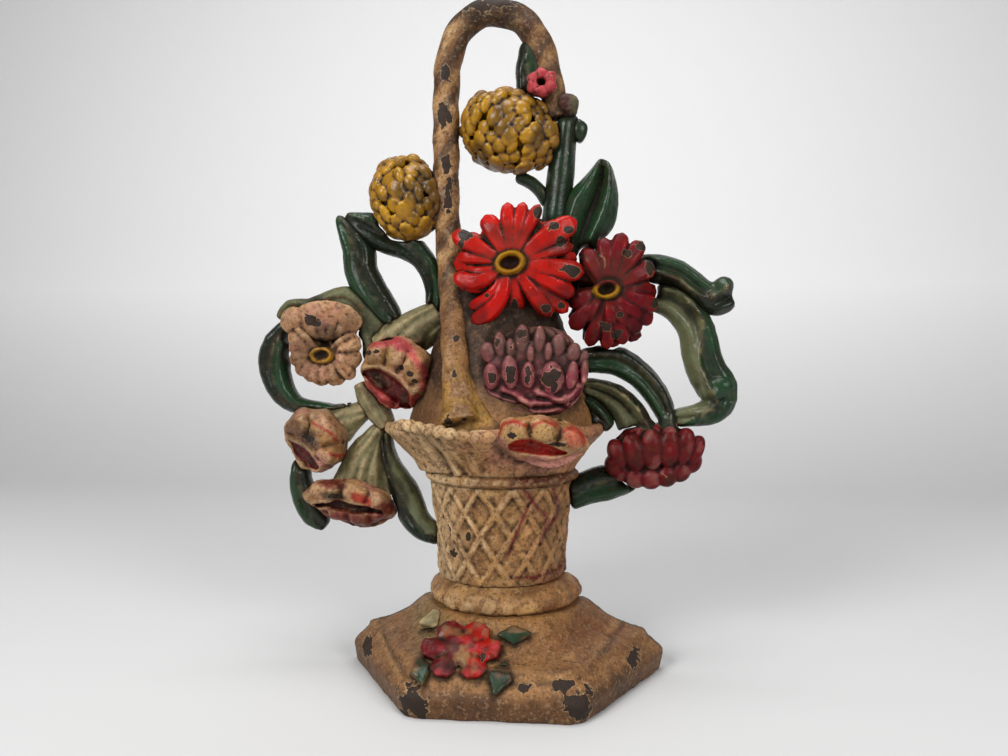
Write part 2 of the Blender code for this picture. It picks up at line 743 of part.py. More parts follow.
def upper_left_blade(grow=0.0):
    """Leaf at the upper left that hangs down beside the opening."""
    path = [(-65.3, 79.5, 0.9, 0.7), (-63.3, 77, 2.6, 0.85), (-60.3, 72.5, 4.4, 0.95), (-57, 66, 5.9, 1),
            (-56.6, 59.5, 5.9, 1), (-54, 53.5, 5.9, 1), (-49.8, 47.5, 5.2, 1), (-45.5, 42.3, 4.2, 0.95),
            (-42, 38.5, 2.5, 0.9)]
    return ribbon(path, LEAF_SECTION, LEAF_THICKNESS, grow=grow)


def upper_left_arc(grow=0.0):
    """Leaf that arches from the same tip down to the handle."""
    path = [(-61.5, 80.0, 1.2, 0.8), (-58.0, 78.0, 3.4, 0.9), (-52, 75, 6.0, 1), (-45, 71, 5.6, 1),
            (-38.4, 68.5, 5.2, 1), (-32.4, 63.5, 4.0, 0.95), (-28.5, 57, 3.6, 0.9),
            (-27.2, 50, 3.2, 0.85), (-28.2, 44, 3.0, 0.85), (-31.5, 40, 2.4, 0.85)]
    return ribbon(path, LEAF_SECTION, LEAF_THICKNESS, grow=grow)


def daisy_leaf(grow=0.0):
    """Leaf that shows behind the daisy's top."""
    path = [(-88, 40, 2, 0.8), (-84, 44.5, 3, 0.9), (-77, 44, 3.5, 0.9), (-70, 46, 4, 0.9),
            (-62.5, 48, 4.5, 0.9), (-57, 44, 5, 0.9), (-52.6, 38, 5.4, 0.9), (-51, 31, 5, 0.9),
            (-50.5, 24, 4, 0.9)]
    return ribbon(path, LEAF_SECTION, LEAF_THICKNESS, grow=grow)


def far_left_leaf(grow=0.0):
    """Outermost leaf at the left, from behind the daisy round to the lower trumpets."""
    path = [(-84, 38, 3, 0.9), (-89.6, 31, 5, 1), (-91.2, 24, 5.7, 1), (-90.2, 17, 5.2, 1),
            (-87, 10.5, 4.2, 1), (-82, 6.4, 3, 0.9), (-75, 5.4, 2.3, 0.8), (-67, 4.4, 2, 0.8),
            (-60, 5.4, 1.8, 0.8)]
    return ribbon(path, LEAF_SECTION, LEAF_THICKNESS, grow=grow)


def pink_throat(grow=0.0):
    """Pale throat of the pink trumpet, which reaches back to the handle."""
    path = [(-25, 41, 6.5, 0.8), (-33, 36, 8, 0.95), (-41, 31, 8.4, 1), (-46, 26.5, 8, 1)]
    return ribbon(path, STEM_SECTION, THROAT_THICKNESS, grow=grow)


def left_stem(grow=0.0):
    """Pale stem from the pink trumpet down to the rim's left tip."""
    path = [(-56, 15, 3.2, 0.9), (-52.5, 8, 4.6, 1), (-48.5, 2.5, 4.2, 1), (-46, -1.5, 3, 0.9)]
    return ribbon(path, STEM_SECTION, STEM_THICKNESS, grow=grow)


def lower_left_throat(grow=0.0):
    """Throat of the left lower trumpet."""
    path = [(-54.5, 5, 3.4, 0.7), (-60, 2, 5, 0.8), (-66, -2, 7.5, 0.95), (-71, -5, 8.5, 1)]
    return ribbon(path, STEM_SECTION, THROAT_THICKNESS, grow=grow)


def lower_right_throat(grow=0.0):
    """Throat of the right lower trumpet."""
    path = [(-49, -2, 2.6, 0.7), (-51, -6.5, 4.6, 0.8), (-53.4, -12, 7.6, 0.9), (-54.6, -19, 9.8, 1),
            (-56.5, -28, 12.5, 1)]
    return ribbon(path, STEM_SECTION, THROAT_THICKNESS, grow=grow)


def under_leaf(grow=0.0):
    """Dark leaf that shows left of and below the lower trumpets."""
    path = [(-79.5, -13, 2.6, 0.8), (-80.5, -22, 3.6, 0.9), (-78.5, -30, 4.6, 0.9), (-75, -36.5, 4.2, 0.9),
            (-70.5, -40.5, 2, 0.7)]
    return ribbon(path, LEAF_SECTION, LEAF_THICKNESS, grow=grow)


def lower_left_leaf(grow=0.0):
    """Leaf that falls from the rim's tip and curls in to the basket's side."""
    path = [(-46.6, -4, 1.8, 0.8), (-45.8, -11, 2.2, 0.9), (-43.5, -18, 3.2, 1), (-39.5, -25.5, 4.6, 1),
            (-37, -32.5, 5.4, 1), (-34, -38.5, 4.8, 1), (-29, -42.2, 4, 1), (-23, -43.5, 3.5, 0.9)]
    return ribbon(path, LEAF_SECTION, LEAF_THICKNESS, grow=grow)


def tall_leaf(grow=0.0):
    """Tall folded leaf above the crimson zinnia."""
    path = [(25, 64, 5, 0.9), (28, 70, 7.8, 1), (31.3, 79, 10.4, 1), (34.5, 86.5, 8.4, 1),
            (36.5, 94, 4.6, 0.9), (37, 99, 1.5, 0.7)]
    return ribbon(path, LEAF_SECTION, LEAF_THICKNESS + 3.0, steps=3, grow=grow)


def right_stem(grow=0.0):
    """Green stem that carries on from the handle's right leg."""
    tall = HANDLE_HEIGHT - STEM_TOP_DROP - STEM_FOOT_HEIGHT
    run = [(24.5, 1.0, 3, 0.9), (23, 0.894, 4, 1), (22, 0.723, 4.3, 1), (21.2, 0.532, 4.6, 1),
           (20.2, 0.362, 4.6, 1), (19.2, 0.17, 4.6, 1), (18.5, 0.0, 4.5, 0.9)]
    path = [(x, STEM_FOOT_HEIGHT + share * tall, half, thick) for x, share, half, thick in run]
    return ribbon(path, STEM_SECTION, STEM_THICKNESS, grow=grow)


def mum_stem(grow=0.0):
    """Thin stem from under the upper mum to the right stem."""
    middle = HANDLE_HEIGHT - UPPER_MUM_DROP
    path = [(4.5, middle - 15.9, 1.8, 0.8), (10, middle - 18.4, 2, 0.9), (14, middle - 22.4, 2, 0.9),
            (17, middle - 27.7, 2.2, 0.9)]
    return ribbon(path, STEM_SECTION, STEM_THICKNESS * 0.7, grow=grow)


def rose_leaf(grow=0.0):
    """Leaf inside the arch, left of the rose."""
    rose = HANDLE_HEIGHT - ROSE_DROP
    path = [(8.5, rose + 16.5, 2.2, 0.8), (8.6, rose + 11, 3.8, 1), (8.3, rose + 5, 3.9, 1),
            (8, rose - 1, 3, 0.9)]
    return ribbon(path, LEAF_SECTION, LEAF_THICKNESS, grow=grow)


def bud_leaf(grow=0.0):
    """Small leaf right of the stem, under the bud."""
    def outline(angle):
        return 1.0 - 0.2 * abs(math.sin(2 * angle))

    def shape(rho, angle):
        return 2.4 - 1.2 * rho * rho

    return bloom((27.2, HANDLE_HEIGHT - BUD_LEAF_DROP), 4.0, (4.2, 5.0), shape, outline, 12, rings=2, roll=20, grow=grow)


def curled_leaf(grow=0.0):
    """Upper right leaf, whose end rolls over."""
    path = [(50, 59, 4, 0.9), (57, 58.3, 5, 1), (64.5, 56.2, 4.9, 1), (70.5, 51.6, 4.8, 1),
            (75.5, 47.4, 5.2, 1), (80, 46.4, 5.6, 1), (84.4, 47.4, 3.8, 0.8)]
    return ribbon(path, LEAF_SECTION, LEAF_THICKNESS + 1.0, grow=grow)


def wavy_leaf(grow=0.0):
    """Outermost right leaf: it falls in a wave and turns back in to the crimson bud."""
    path = [(54, 48, 4.5, 0.9), (62, 46, 5.5, 1), (68.4, 41, 6.2, 1), (72, 34.5, 6.4, 1), (73.5, 26.5, 6.8, 1),
            (75.8, 19.5, 6.8, 1), (79.6, 13, 7.2, 1), (79.2, 7, 5.6, 1), (75, 4, 4.2, 0.95),
            (69.5, 3, 3.4, 0.9), (63.5, 2, 2.8, 0.9)]
    return ribbon(path, LEAF_SECTION, LEAF_THICKNESS, grow=grow)


def dark_arc_leaf(grow=0.0):
    """Dark leaf that arches from under the zinnias to the crimson bud."""
    path = [(29, 23.5, 4, 0.9), (36, 24.3, 4.8, 1), (43.5, 23.3, 5.1, 1), (51, 18.3, 4.5, 1),
            (56.8, 11.3, 4.2, 1), (60.5, 3.5, 3.2, 0.95), (61.8, -1.5, 2.5, 0.9)]
    return ribbon(path, LEAF_SECTION, LEAF_THICKNESS + 1.5, grow=grow)


def sage_arc_leaf(grow=0.0):
    """Paler leaf inside the dark one."""
    path = [(27, 14, 2.5, 0.9), (33, 13.5, 3, 0.9), (41, 10, 4.8, 1), (46.5, 4.5, 5.6, 1),
            (49.5, -2, 6.2, 1), (50.2, -6, 6, 1)]
    return ribbon(path, LEAF_SECTION, LEAF_THICKNESS + 0.5, grow=grow)


def rim_leaf(grow=0.0):
    """Small dark leaf between the rim trumpet and the sage leaf."""
    path = [(27, 8.5, 3, 0.9), (32, 5.5, 4.5, 1), (36.5, 1.5, 4, 1), (39.5, -1.5, 2, 0.8)]
    return ribbon(path, LEAF_SECTION, LEAF_THICKNESS + 2.0, grow=grow)


def lower_right_leaf(grow=0.0):
    """Leaf from the basket's side to the crimson bud."""
    path = [(24, -28, 5, 0.9), (31, -24.5, 5.8, 1), (38, -22.5, 6.2, 1), (45, -21.5, 4.8, 1),
            (50, -20.5, 2.5, 0.8)]
    return ribbon(path, LEAF_SECTION, LEAF_THICKNESS, grow=grow)


def on_foot(x, z, half):
    """Depth and backward tilt of a relief that spans the foot's hollow slope either side of a height."""
    low, high = foot_depth(x, z - half), foot_depth(x, z + half)
    return max((low + high) / 2, foot_depth(x, z)), math.degrees(math.atan2(low - high, 2 * half))


def foot_leaf(centre, radii, half, roll, grow):
    """Low relief leaf on the foot, pointed at both ends."""
    lift, nod = on_foot(*centre, half)

    def outline(angle):
        return 1.0 - 0.3 * abs(math.sin(2 * angle)) ** 1.5

    def shape(rho, angle):
        return 1.5 - 0.7 * rho * abs(math.sin(angle))

    return bloom(centre, lift, radii, shape, outline, 16, rings=2, nod=nod, roll=roll, sunk=5.0,
                 over_rim=False, grow=grow)


def foot_flower(grow=0.0):
    """Low relief flower on the front of the foot."""
    x, z = -11.8, 18.2
    lift, nod = on_foot(x, z, 7.0)
    outline, groove = petals(6, 0.26, 0.4)

    def shape(rho, angle):
        return 2.4 * (1.2 if rho < 0.4 else groove(rho, angle))

    return bloom((x, z), lift, (13.6, 11.2), shape, outline, 24, rings=3, nod=nod, sunk=7.0,
                 over_rim=False, grow=grow)


def foot_leaf_right(grow=0.0):
    """Leaf right of the foot's flower."""
    return foot_leaf((5.6, 22.2), (6.0, 3.8), 2.0, 5, grow)


def foot_leaf_low_right(grow=0.0):
    """Leaf below the foot's flower, at the right."""
    return foot_leaf((2.0, 12.8), (4.4, 6.4), 3.4, -15, grow)


def foot_leaf_low_left(grow=0.0):
    """Leaf below the foot's flower, at the left."""
    return foot_leaf((-24.2, 14.0), (3.8, 5.8), 3.0, 15, grow)


def foot_leaf_high_left(grow=0.0):
    """Leaf above the foot's flower, at the left."""
    return foot_leaf((-22.8, 23.6), (6.4, 3.8), 1.8, 20, grow)


# Each form with its paint and the neighbours that it is fitted round, rearmost last
FORMS = [
    ("foot", foot, IVORY, ()),
    ("pedestal_ring", pedestal_ring, IVORY, ()),
    ("basket_body", basket_body, IVORY, ()),
    ("basket_band", basket_band, IVORY, ()),
    ("basket_rim", basket_rim, IVORY, ()),
    ("mound", mound, UMBER, ()),
    ("handle", handle, IVORY, (mound, basket_rim)),
    ("red_zinnia", red_zinnia, SCARLET, (mound, handle)),
    ("crimson_zinnia", crimson_zinnia, CRIMSON, (mound, red_zinnia)),
    ("purple_mum", purple_mum, PLUM, (mound, handle, red_zinnia, crimson_zinnia)),
    ("rim_trumpet", rim_trumpet, ROSE, (mound, basket_rim, purple_mum)),
    ("upper_mum", upper_mum, OCHRE, (handle,)),
    ("left_mum", left_mum, OCHRE, (handle,)),
    ("pink_trumpet", pink_trumpet, ROSE, (mound, handle, basket_rim)),
    ("daisy", daisy, SAND, (pink_trumpet,)),
    ("lower_left_trumpet", lower_left_trumpet, ROSE, ()),
    ("lower_right_trumpet", lower_right_trumpet, ROSE, (lower_left_trumpet,)),
    ("small_rose", small_rose, ROSE, (handle, upper_mum)),
    ("rose_bud", rose_bud, UMBER, (handle, upper_mum, small_rose)),
    ("crimson_bud", crimson_bud, CRIMSON, ()),
    ("pink_throat", pink_throat, SAGE, (mound, handle, pink_trumpet, daisy)),
    ("left_stem", left_stem, SAGE, (pink_trumpet, basket_rim, mound, daisy)),
    ("lower_left_throat", lower_left_throat, SAGE, (lower_left_trumpet, left_stem, daisy)),
    ("lower_right_throat", lower_right_throat, SAGE,
     (lower_right_trumpet, left_stem, lower_left_throat, lower_left_trumpet)),
    ("upper_left_arc", upper_left_arc, GREEN, (left_mum, handle, pink_throat)),
    ("upper_left_blade", upper_left_blade, GREEN, (upper_left_arc, pink_throat)),
    ("daisy_leaf", daisy_leaf, SAGE, (daisy, upper_left_blade, pink_throat, pink_trumpet)),
    ("far_left_leaf", far_left_leaf, GREEN,
     (daisy, daisy_leaf, lower_left_trumpet, lower_left_throat, left_stem)),
    ("under_leaf", under_leaf, GREEN, (lower_left_trumpet, lower_right_trumpet)),
    ("lower_left_leaf", lower_left_leaf, GREEN,
     (basket_body, left_stem, lower_right_throat, lower_right_trumpet, basket_rim)),
    ("right_stem", right_stem, GREEN, (handle, upper_mum, rose_bud, red_zinnia, mound)),
    ("mum_stem", mum_stem, GREEN, (upper_mum, right_stem, red_zinnia)),
    ("rose_leaf", rose_leaf, GREEN, (handle, upper_mum, small_rose)),
    ("bud_leaf", bud_leaf, GREEN, (right_stem, rose_bud, upper_mum)),
    ("tall_leaf", tall_leaf, GREEN, (crimson_zinnia, red_zinnia, right_stem, bud_leaf)),
    ("curled_leaf", curled_leaf, GREEN, (crimson_zinnia,)),
    ("wavy_leaf", wavy_leaf, GREEN, (curled_leaf, crimson_zinnia, crimson_bud)),
    ("dark_arc_leaf", dark_arc_leaf, GREEN, (mound, crimson_zinnia, purple_mum, crimson_bud, wavy_leaf)),
    ("sage_arc_leaf", sage_arc_leaf, SAGE, (mound, purple_mum, dark_arc_leaf, crimson_bud)),
    ("rim_leaf", rim_leaf, GREEN, (rim_trumpet, purple_mum, sage_arc_leaf, mound, basket_rim)),
    ("lower_right_leaf", lower_right_leaf, GREEN, (basket_body, basket_band, crimson_bud)),
    ("foot_flower", foot_flower, SCARLET, (foot,)),
    ("foot_leaf_right", foot_leaf_right, GREEN, (foot, foot_flower)),
    ("foot_leaf_low_right", foot_leaf_low_right, GREEN, (foot, foot_flower)),
    ("foot_leaf_low_left", foot_leaf_low_left, GREEN, (foot, foot_flower)),
    ("foot_leaf_high_left", foot_leaf_high_left, SAGE, (foot, foot_flower)),
]


def make_object(name, shape):
    """Turn points and faces in millimetres into an object with its faces outward."""
    verts, faces = shape
    mesh = bpy.data.meshes.new(name)
    form = bmesh.new()
    points = [form.verts.new(Vector(p) * MM) for p in verts]
    for face in faces:
        form.faces.new([points[k] for k in face])
    bmesh.ops.remove_doubles(form, verts=form.verts, dist=0.00002)
    bmesh.ops.dissolve_degenerate(form, edges=form.edges, dist=0.00001)
    bmesh.ops.triangulate(form, faces=form.faces)
    bmesh.ops.recalc_face_normals(form, faces=form.faces)
    form.to_mesh(mesh)
    form.free()
    piece = bpy.data.objects.new(name, mesh)
    bpy.context.scene.collection.objects.link(piece)
    return piece


def keep_largest_body(form):
    """Drop the offcuts that a cut leaves beside the main body."""
    bodies = []
    todo = set(form.faces)
    while todo:
        body = {todo.pop()}
        front = list(body)
        while front:
            for edge in front.pop().edges:
                for face in edge.link_faces:
                    if face in todo:
                        todo.remove(face)
                        body.add(face)
                        front.append(face)
        bodies.append(body)
    bodies.sort(key=lambda body: sum(face.calc_area() for face in body))
    waste = [face for body in bodies[:-1] for face in body]
    bmesh.ops.delete(form, geom=waste, context="FACES")


def closed_mesh(mesh):
    """Tidy a cut mesh with the widest tolerance that leaves it closed, or return None."""
    for tolerance in CLEAN_TOLERANCES:
        form = bmesh.new()
        form.from_mesh(mesh)
        keep_largest_body(form)
        bmesh.ops.remove_doubles(form, verts=form.verts, dist=tolerance * MM)
        bmesh.ops.dissolve_degenerate(form, edges=form.edges, dist=tolerance * MM / 2)
        bmesh.ops.dissolve_limit(form, angle_limit=FLATNESS, verts=form.verts, edges=form.edges)
        bmesh.ops.triangulate(form, faces=form.faces)
        closed = len(form.faces) > 0 and all(len(edge.link_faces) == 2 for edge in form.edges)
        if closed:
            form.to_mesh(mesh)
        form.free()
        if closed:
            return mesh
    return None


def fit_round(piece, neighbours):
    """Cut a piece away round its neighbours, each grown by the gap."""
    for neighbour in neighbours:
        cutter = make_object("cutter", neighbour(GAP))
        for solver, use_self in SOLVERS:
            cut = piece.modifiers.new("fit", "BOOLEAN")
            cut.operation = "DIFFERENCE"
            cut.solver = solver
            if solver == "EXACT":
                cut.use_self = use_self
            cut.object = cutter
            graph = bpy.context.evaluated_depsgraph_get()
            mesh = closed_mesh(bpy.data.meshes.new_from_object(piece.evaluated_get(graph)))
            piece.modifiers.clear()
            if mesh:
                piece.data = mesh
                break
        bpy.data.objects.remove(cutter)


def paint(piece, finish):
    """Give a piece its own Principled material."""
    colour, roughness, metallic = finish
    material = bpy.data.materials.new(piece.name)
    material.use_nodes = True
    shader = material.node_tree.nodes["Principled BSDF"]
    shader.inputs["Base Color"].default_value = (*colour, 1.0)
    shader.inputs["Roughness"].default_value = roughness
    shader.inputs["Metallic"].default_value = metallic
    piece.data.materials.clear()
    piece.data.materials.append(material)


def main():
    """Build every form of the doorstop under one empty that centres the part."""
    for old in list(bpy.data.objects):
        bpy.data.objects.remove(old)
    middle = bpy.data.objects.new("middle", None)
    middle.location = ((LEFT_REACH - RIGHT_REACH) / 2 * MM, FOOT_DEPTH / 2 * MM, 0.0)
    bpy.context.scene.collection.objects.link(middle)
    for name, shape, finish, neighbours in FORMS:
        piece = make_object(name, shape())
        fit_round(piece, neighbours)
        paint(piece, finish)
        piece.data.shade_smooth()
        piece.data.set_sharp_from_angle(angle=SHARP_FROM)
        piece.parent = middle


main()
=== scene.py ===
"""Dresses the cast iron doorstop: every carved form gets its full relief and its old paint.

Sizes are in millimetres in the casting's own coordinates: across to the right, depth out from the
flat back, and height from the floor. They become metres in the frame when a skin is made.
"""
from __future__ import annotations

import itertools
import logging
from dataclasses import dataclass, field
from enum import Enum
from math import cos, exp, hypot, pi, radians, sin, sqrt, tan
from typing import Callable, Optional, Sequence

import bpy
import numpy as np
from mathutils import Matrix, Vector
from mathutils.bvhtree import BVHTree


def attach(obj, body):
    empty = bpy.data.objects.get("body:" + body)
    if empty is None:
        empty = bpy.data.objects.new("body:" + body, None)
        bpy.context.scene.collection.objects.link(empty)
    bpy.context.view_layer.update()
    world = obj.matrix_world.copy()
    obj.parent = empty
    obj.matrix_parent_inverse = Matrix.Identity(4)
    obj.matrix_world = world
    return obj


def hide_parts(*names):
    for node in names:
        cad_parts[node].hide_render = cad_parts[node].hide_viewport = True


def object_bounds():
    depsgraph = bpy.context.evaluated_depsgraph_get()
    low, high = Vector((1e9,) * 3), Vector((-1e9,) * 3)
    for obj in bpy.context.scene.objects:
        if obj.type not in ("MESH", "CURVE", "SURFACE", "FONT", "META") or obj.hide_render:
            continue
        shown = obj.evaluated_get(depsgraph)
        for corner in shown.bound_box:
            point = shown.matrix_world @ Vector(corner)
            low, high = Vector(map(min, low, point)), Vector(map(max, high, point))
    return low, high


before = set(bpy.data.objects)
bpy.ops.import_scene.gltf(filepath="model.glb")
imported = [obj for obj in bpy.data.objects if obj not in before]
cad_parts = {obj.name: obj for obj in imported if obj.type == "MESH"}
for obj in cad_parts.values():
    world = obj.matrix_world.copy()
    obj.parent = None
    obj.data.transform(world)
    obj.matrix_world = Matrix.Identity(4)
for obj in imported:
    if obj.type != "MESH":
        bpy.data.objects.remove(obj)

log = logging.getLogger("doorstop")

MM = 0.001
GRID = 1e-6
SENSOR = 36.0

# How far one round of smoothing moves a place, and how far back the next one
EASE = 0.6
UNDO = 0.52
CAD_LOW, CAD_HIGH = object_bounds()

# Where the casting's own coordinates lie in the frame
FRAME_X = 5.2
FRAME_BACK = CAD_HIGH[1] / MM

Colour = tuple[float, float, float]
Point = tuple[float, float, float]
Faces = list[tuple[int, ...]]
Flat = tuple[float, float]
Line = Sequence[Flat]
Row = tuple[float, ...]


def pigment(red: int, green: int, blue: int) -> Colour:
    """Turn a display colour, 0 to 255, into a linear one."""
    shares = (value / 255 for value in (red, green, blue))
    return tuple(s / 12.92 if s <= 0.04045 else ((s + 0.055) / 1.055) ** 2.4 for s in shares)


class Hue(Enum):
    """Colours of the paint, the primer, the grime and dust, the painted shade and highlights, and the bare
    metal.
    """

    IRON = pigment(42, 34, 29)
    IRON_BROWN = pigment(54, 37, 26)
    PRIMER = pigment(170, 140, 104)
    PINK_PRIMER = pigment(186, 124, 112)
    DUST = pigment(108, 88, 70)
    CREAM = pigment(194, 152, 96)
    # Pale bone of worn primer, also laid as painted highlight on crests.
    BONE = pigment(216, 184, 140)
    TAN = pigment(160, 116, 68)
    CLAY = pigment(138, 97, 60)
    BROWN = pigment(98, 66, 40)
    # Dark brown of soot and stains, also laid as painted shade and shadow.
    SOOT_AND_SHADE = pigment(48, 34, 25)
    # Near black of grime, also laid as painted shade in hollows, seams and deep mouths.
    GRIME_AND_SHADE = pigment(24, 15, 10)
    SCARLET = pigment(180, 18, 11)
    RED = pigment(158, 18, 14)
    OX_RED = pigment(84, 8, 8)
    CRIMSON = pigment(96, 7, 18)
    WINE = pigment(52, 4, 10)
    PINK = pigment(178, 58, 66)
    SALMON = pigment(196, 98, 72)
    OCHRE = pigment(156, 108, 10)
    GOLD = pigment(226, 176, 36)
    UMBER = pigment(62, 42, 16)
    LEAF_GREEN = pigment(26, 58, 34)
    DEEP_GREEN = pigment(12, 30, 18)
    SAGE = pigment(96, 100, 70)
    PALE_SAGE = pigment(138, 130, 92)
    PLUM = pigment(112, 34, 52)
    VIOLET = pigment(70, 40, 40)
    LILAC = pigment(170, 104, 106)
    DAISY = pigment(160, 114, 80)


def grain(points: np.ndarray, size: float, seed: int) -> np.ndarray:
    """Smooth random values from -1 to 1.

    Args:
        points: Places in millimetres.
        size: Size of the grain in millimetres.
        seed: Picks one pattern.

    Returns:
        One value for each place.
    """
    scaled = points / size + seed * 7.31
    cell = np.floor(scaled).astype(np.int64)
    part = scaled - cell
    part = part * part * (3 - 2 * part)
    total = np.zeros(len(points))
    for corner in itertools.product((0, 1), repeat=3):
        at = cell + np.array(corner)
        mixed = (at[:, 0] * 374761393 + at[:, 1] * 668265263 + at[:, 2] * 1440662683 + seed * 97) & 0xFFFFFFFF
        mixed = ((mixed ^ (mixed >> 13)) * 1274126177) & 0xFFFFFFFF
        mixed = (mixed ^ (mixed >> 16)) / 0xFFFFFFFF
        weight = np.prod(np.where(np.array(corner) == 1, part, 1 - part), axis=1)
        total += weight * mixed
    return total * 2 - 1


def step(values: np.ndarray, low: float, high: float) -> np.ndarray:
    """Smooth step from 0 at low to 1 at high."""
    share = np.clip((values - low) / (high - low), 0.0, 1.0)
    return share * share * (3 - 2 * share)


def oval_share(points: np.ndarray, x: float, z: float, wide: float, high: float,
               roll: float = 0.0) -> np.ndarray:
    """How far each place lies from an oval's middle, as the front shows it.

    Args:
        points: Places in the casting's millimetres.
        x: Middle across.
        z: Middle height.
        wide: Half width.
        high: Half height.
        roll: Turn, anticlockwise, in degrees.

    Returns:
        The distance, which is 1 on the oval.
    """
    c, s = cos(radians(roll)), sin(radians(roll))
    dx, dz = points[:, 0] - x, points[:, 2] - z
    return np.hypot((dx * c + dz * s) / wide, (dz * c - dx * s) / high)


@dataclass
class Solid:
    """Closed body in the casting's millimetres.

    Attributes:
        points: Places, one row each: across, depth, height.
        faces: Corners of each face.
    """

    points: np.ndarray
    faces: Faces


def loft(rings: Sequence[Sequence[Point]]) -> Solid:
    """Skin closed rings in order and close both ends.

    Args:
        rings: Rings of equally many places.

    Returns:
        The closed body.
    """
    count = len(rings[0])
    faces: Faces = []
    for i in range(len(rings) - 1):
        for j in range(count):
            a = i * count + j
            b = i * count + (j + 1) % count
            faces.append((a, b, b + count, a + count))
    faces.append(tuple(range(count - 1, -1, -1)))
    last = (len(rings) - 1) * count
    faces.append(tuple(last + j for j in range(count)))
    return Solid(np.array([p for ring in rings for p in ring], dtype=float), faces)


def petal(
    root: Point,
    tip: Point,
    width: float,
    thick: float,
    bow: float = 0.0,
    rise: float = 1.0,
    groove: float = 0.25,
    blunt: float = 0.74,
) -> Solid:
    """One crowned petal with a round end and a groove along its middle.

    Args:
        root: Middle of the petal's root.
        tip: Its end.
        width: Its widest.
        thick: How thick it is in the middle.
        bow: How far it bends to its left.
        rise: How far its middle stands forward.
        groove: How deep the groove is.
        blunt: Share of the length at which the round end begins.

    Returns:
        The petal.
    """
    start, end = np.array(root), np.array(tip)
    run = end - start
    side = np.array([-run[2], 0.0, run[0]])
    side /= np.linalg.norm(side) + 1e-9
    rings = []
    stations, sides = 15, 14
    for i in range(stations + 1):
        t = i / stations
        middle = start + run * t + side * bow * 4 * t * (1 - t)
        middle[1] += rise * sin(pi * min(t * 1.1, 1.0))
        along = run + side * bow * 4 * (1 - 2 * t)
        across = np.array([-along[2], 0.0, along[0]])
        across /= np.linalg.norm(across) + 1e-9
        out = np.cross(along, across)
        out *= (1 if out[1] > 0 else -1) / (np.linalg.norm(out) + 1e-9)
        swell = 0.55 + 0.45 * min(t / blunt, 1.0) ** 0.8
        end_share = max(0.0, (t - blunt) / (1 - blunt))
        half = width / 2 * swell * sqrt(max(1 - end_share ** 2.6, 0.004))
        depth = thick * (0.6 + 0.4 * swell) * sqrt(max(1 - end_share ** 3, 0.02))
        ring = []
        for k in range(sides):
            angle = 2 * pi * k / sides
            a, b = cos(angle), sin(angle)
            lift = b * depth * (1.0 if b > 0 else 1.4)
            if b > 0:
                lift -= groove * depth * exp(-((a / 0.3) ** 2))
            ring.append(tuple(middle + across * a * half + out * lift))
        rings.append(ring)
    return loft(rings)


def relief_disc(
    centre: Point,
    radii: Flat,
    outline: Callable[[float], float],
    height: Callable[[float, float], float],
    back: float,
    roll: float = 0.0,
    nod: float = 0.0,
    turn: float = 0.0,
    rings: int = 22,
    spokes: int = 72,
) -> Solid:
    """Solid with a carved front over an outline round a middle.

    Args:
        centre: Middle of the front's base plane.
        radii: Half width and half height.
        outline: Share of the radii at an angle.
        height: Rise of the front at a share of the radius and an angle, in millimetres.
        back: Depth at which its back lies.
        roll: Turn of the outline, anticlockwise, in degrees.
        nod: Lean of the top forward, in degrees.
        turn: Lean of the right side back, in degrees.
        rings: Rings of places on the front.
        spokes: Places round it.

    Returns:
        The solid.
    """
    points: list[Point] = []
    c, s = cos(radians(roll)), sin(radians(roll))
    tilt_z, tilt_x = tan(radians(nod)), tan(radians(turn))

    def place(rho: float, angle: float, rise: float) -> Point:
        """Find a place on the front of the disc.

    Args:
        rho: Share of the radius.
        angle: Angle round the middle.
        rise: Height over the disc.

    Returns:
        The place.
    """
        a = radii[0] * rho * outline(angle) * cos(angle)
        b = radii[1] * rho * outline(angle) * sin(angle)
        x, z = a * c - b * s, a * s + b * c
        return (centre[0] + x, centre[1] + rise + z * tilt_z - x * tilt_x, centre[2] + z)

    points.append(place(0.0, 0.0, height(0.0, 0.0)))
    for i in range(1, rings + 1):
        rho = i / rings
        for j in range(spokes):
            angle = 2 * pi * j / spokes
            points.append(place(rho, angle, height(rho, angle)))
    for j in range(spokes):
        x, _, z = place(0.93, 2 * pi * j / spokes, 0.0)
        points.append((x, back, z))
    faces: Faces = [(0, 1 + j, 1 + (j + 1) % spokes) for j in range(spokes)]
    for i in range(rings):
        for j in range(spokes):
            a = 1 + i * spokes + j
            b = 1 + i * spokes + (j + 1) % spokes
            faces.append((a, a + spokes, b + spokes, b))
    last = 1 + rings * spokes
    faces.append(tuple(last + j for j in range(spokes)))
    return Solid(np.array(points), faces)


def bead(centre: Point, radii: Point, roll: float = 0.0, sunk: float = 6.0) -> Solid:
    """Half of an egg, as a full petal shows from its end: half width, rise and half height are its radii."""
    return relief_disc(centre, (radii[0], radii[2]), lambda angle: 1.0,
                       lambda rho, angle: radii[1] * sqrt(max(1 - rho ** 2.2, 0.0)),
                       centre[1] - sunk, roll, rings=8, spokes=24)


def add_object(name: str, data: bpy.types.ID) -> bpy.types.Object:
    """Put a new object into the scene.

    Args:
        name: Its name.
        data: What it shows.

    Returns:
        The object.
    """
    thing = bpy.data.objects.new(name, data)
    bpy.context.scene.collection.objects.link(thing)
    return thing


def harden(holder: bpy.types.Object) -> bpy.types.Mesh:
    """Turn an object with modifiers into a plain mesh.

    Args:
        holder: The object, which is removed.

    Returns:
        Its final mesh.
    """
    graph = bpy.context.evaluated_depsgraph_get()
    mesh = bpy.data.meshes.new_from_object(holder.evaluated_get(graph))
    bpy.data.objects.remove(holder)
    return mesh


def corners(mesh: bpy.types.Mesh) -> np.ndarray:
    """Read a mesh's points.

    Args:
        mesh: The mesh.

    Returns:
        Their places, one row each.
    """
    places = np.empty(len(mesh.vertices) * 3)
    mesh.vertices.foreach_get("co", places)
    return places.reshape(-1, 3)


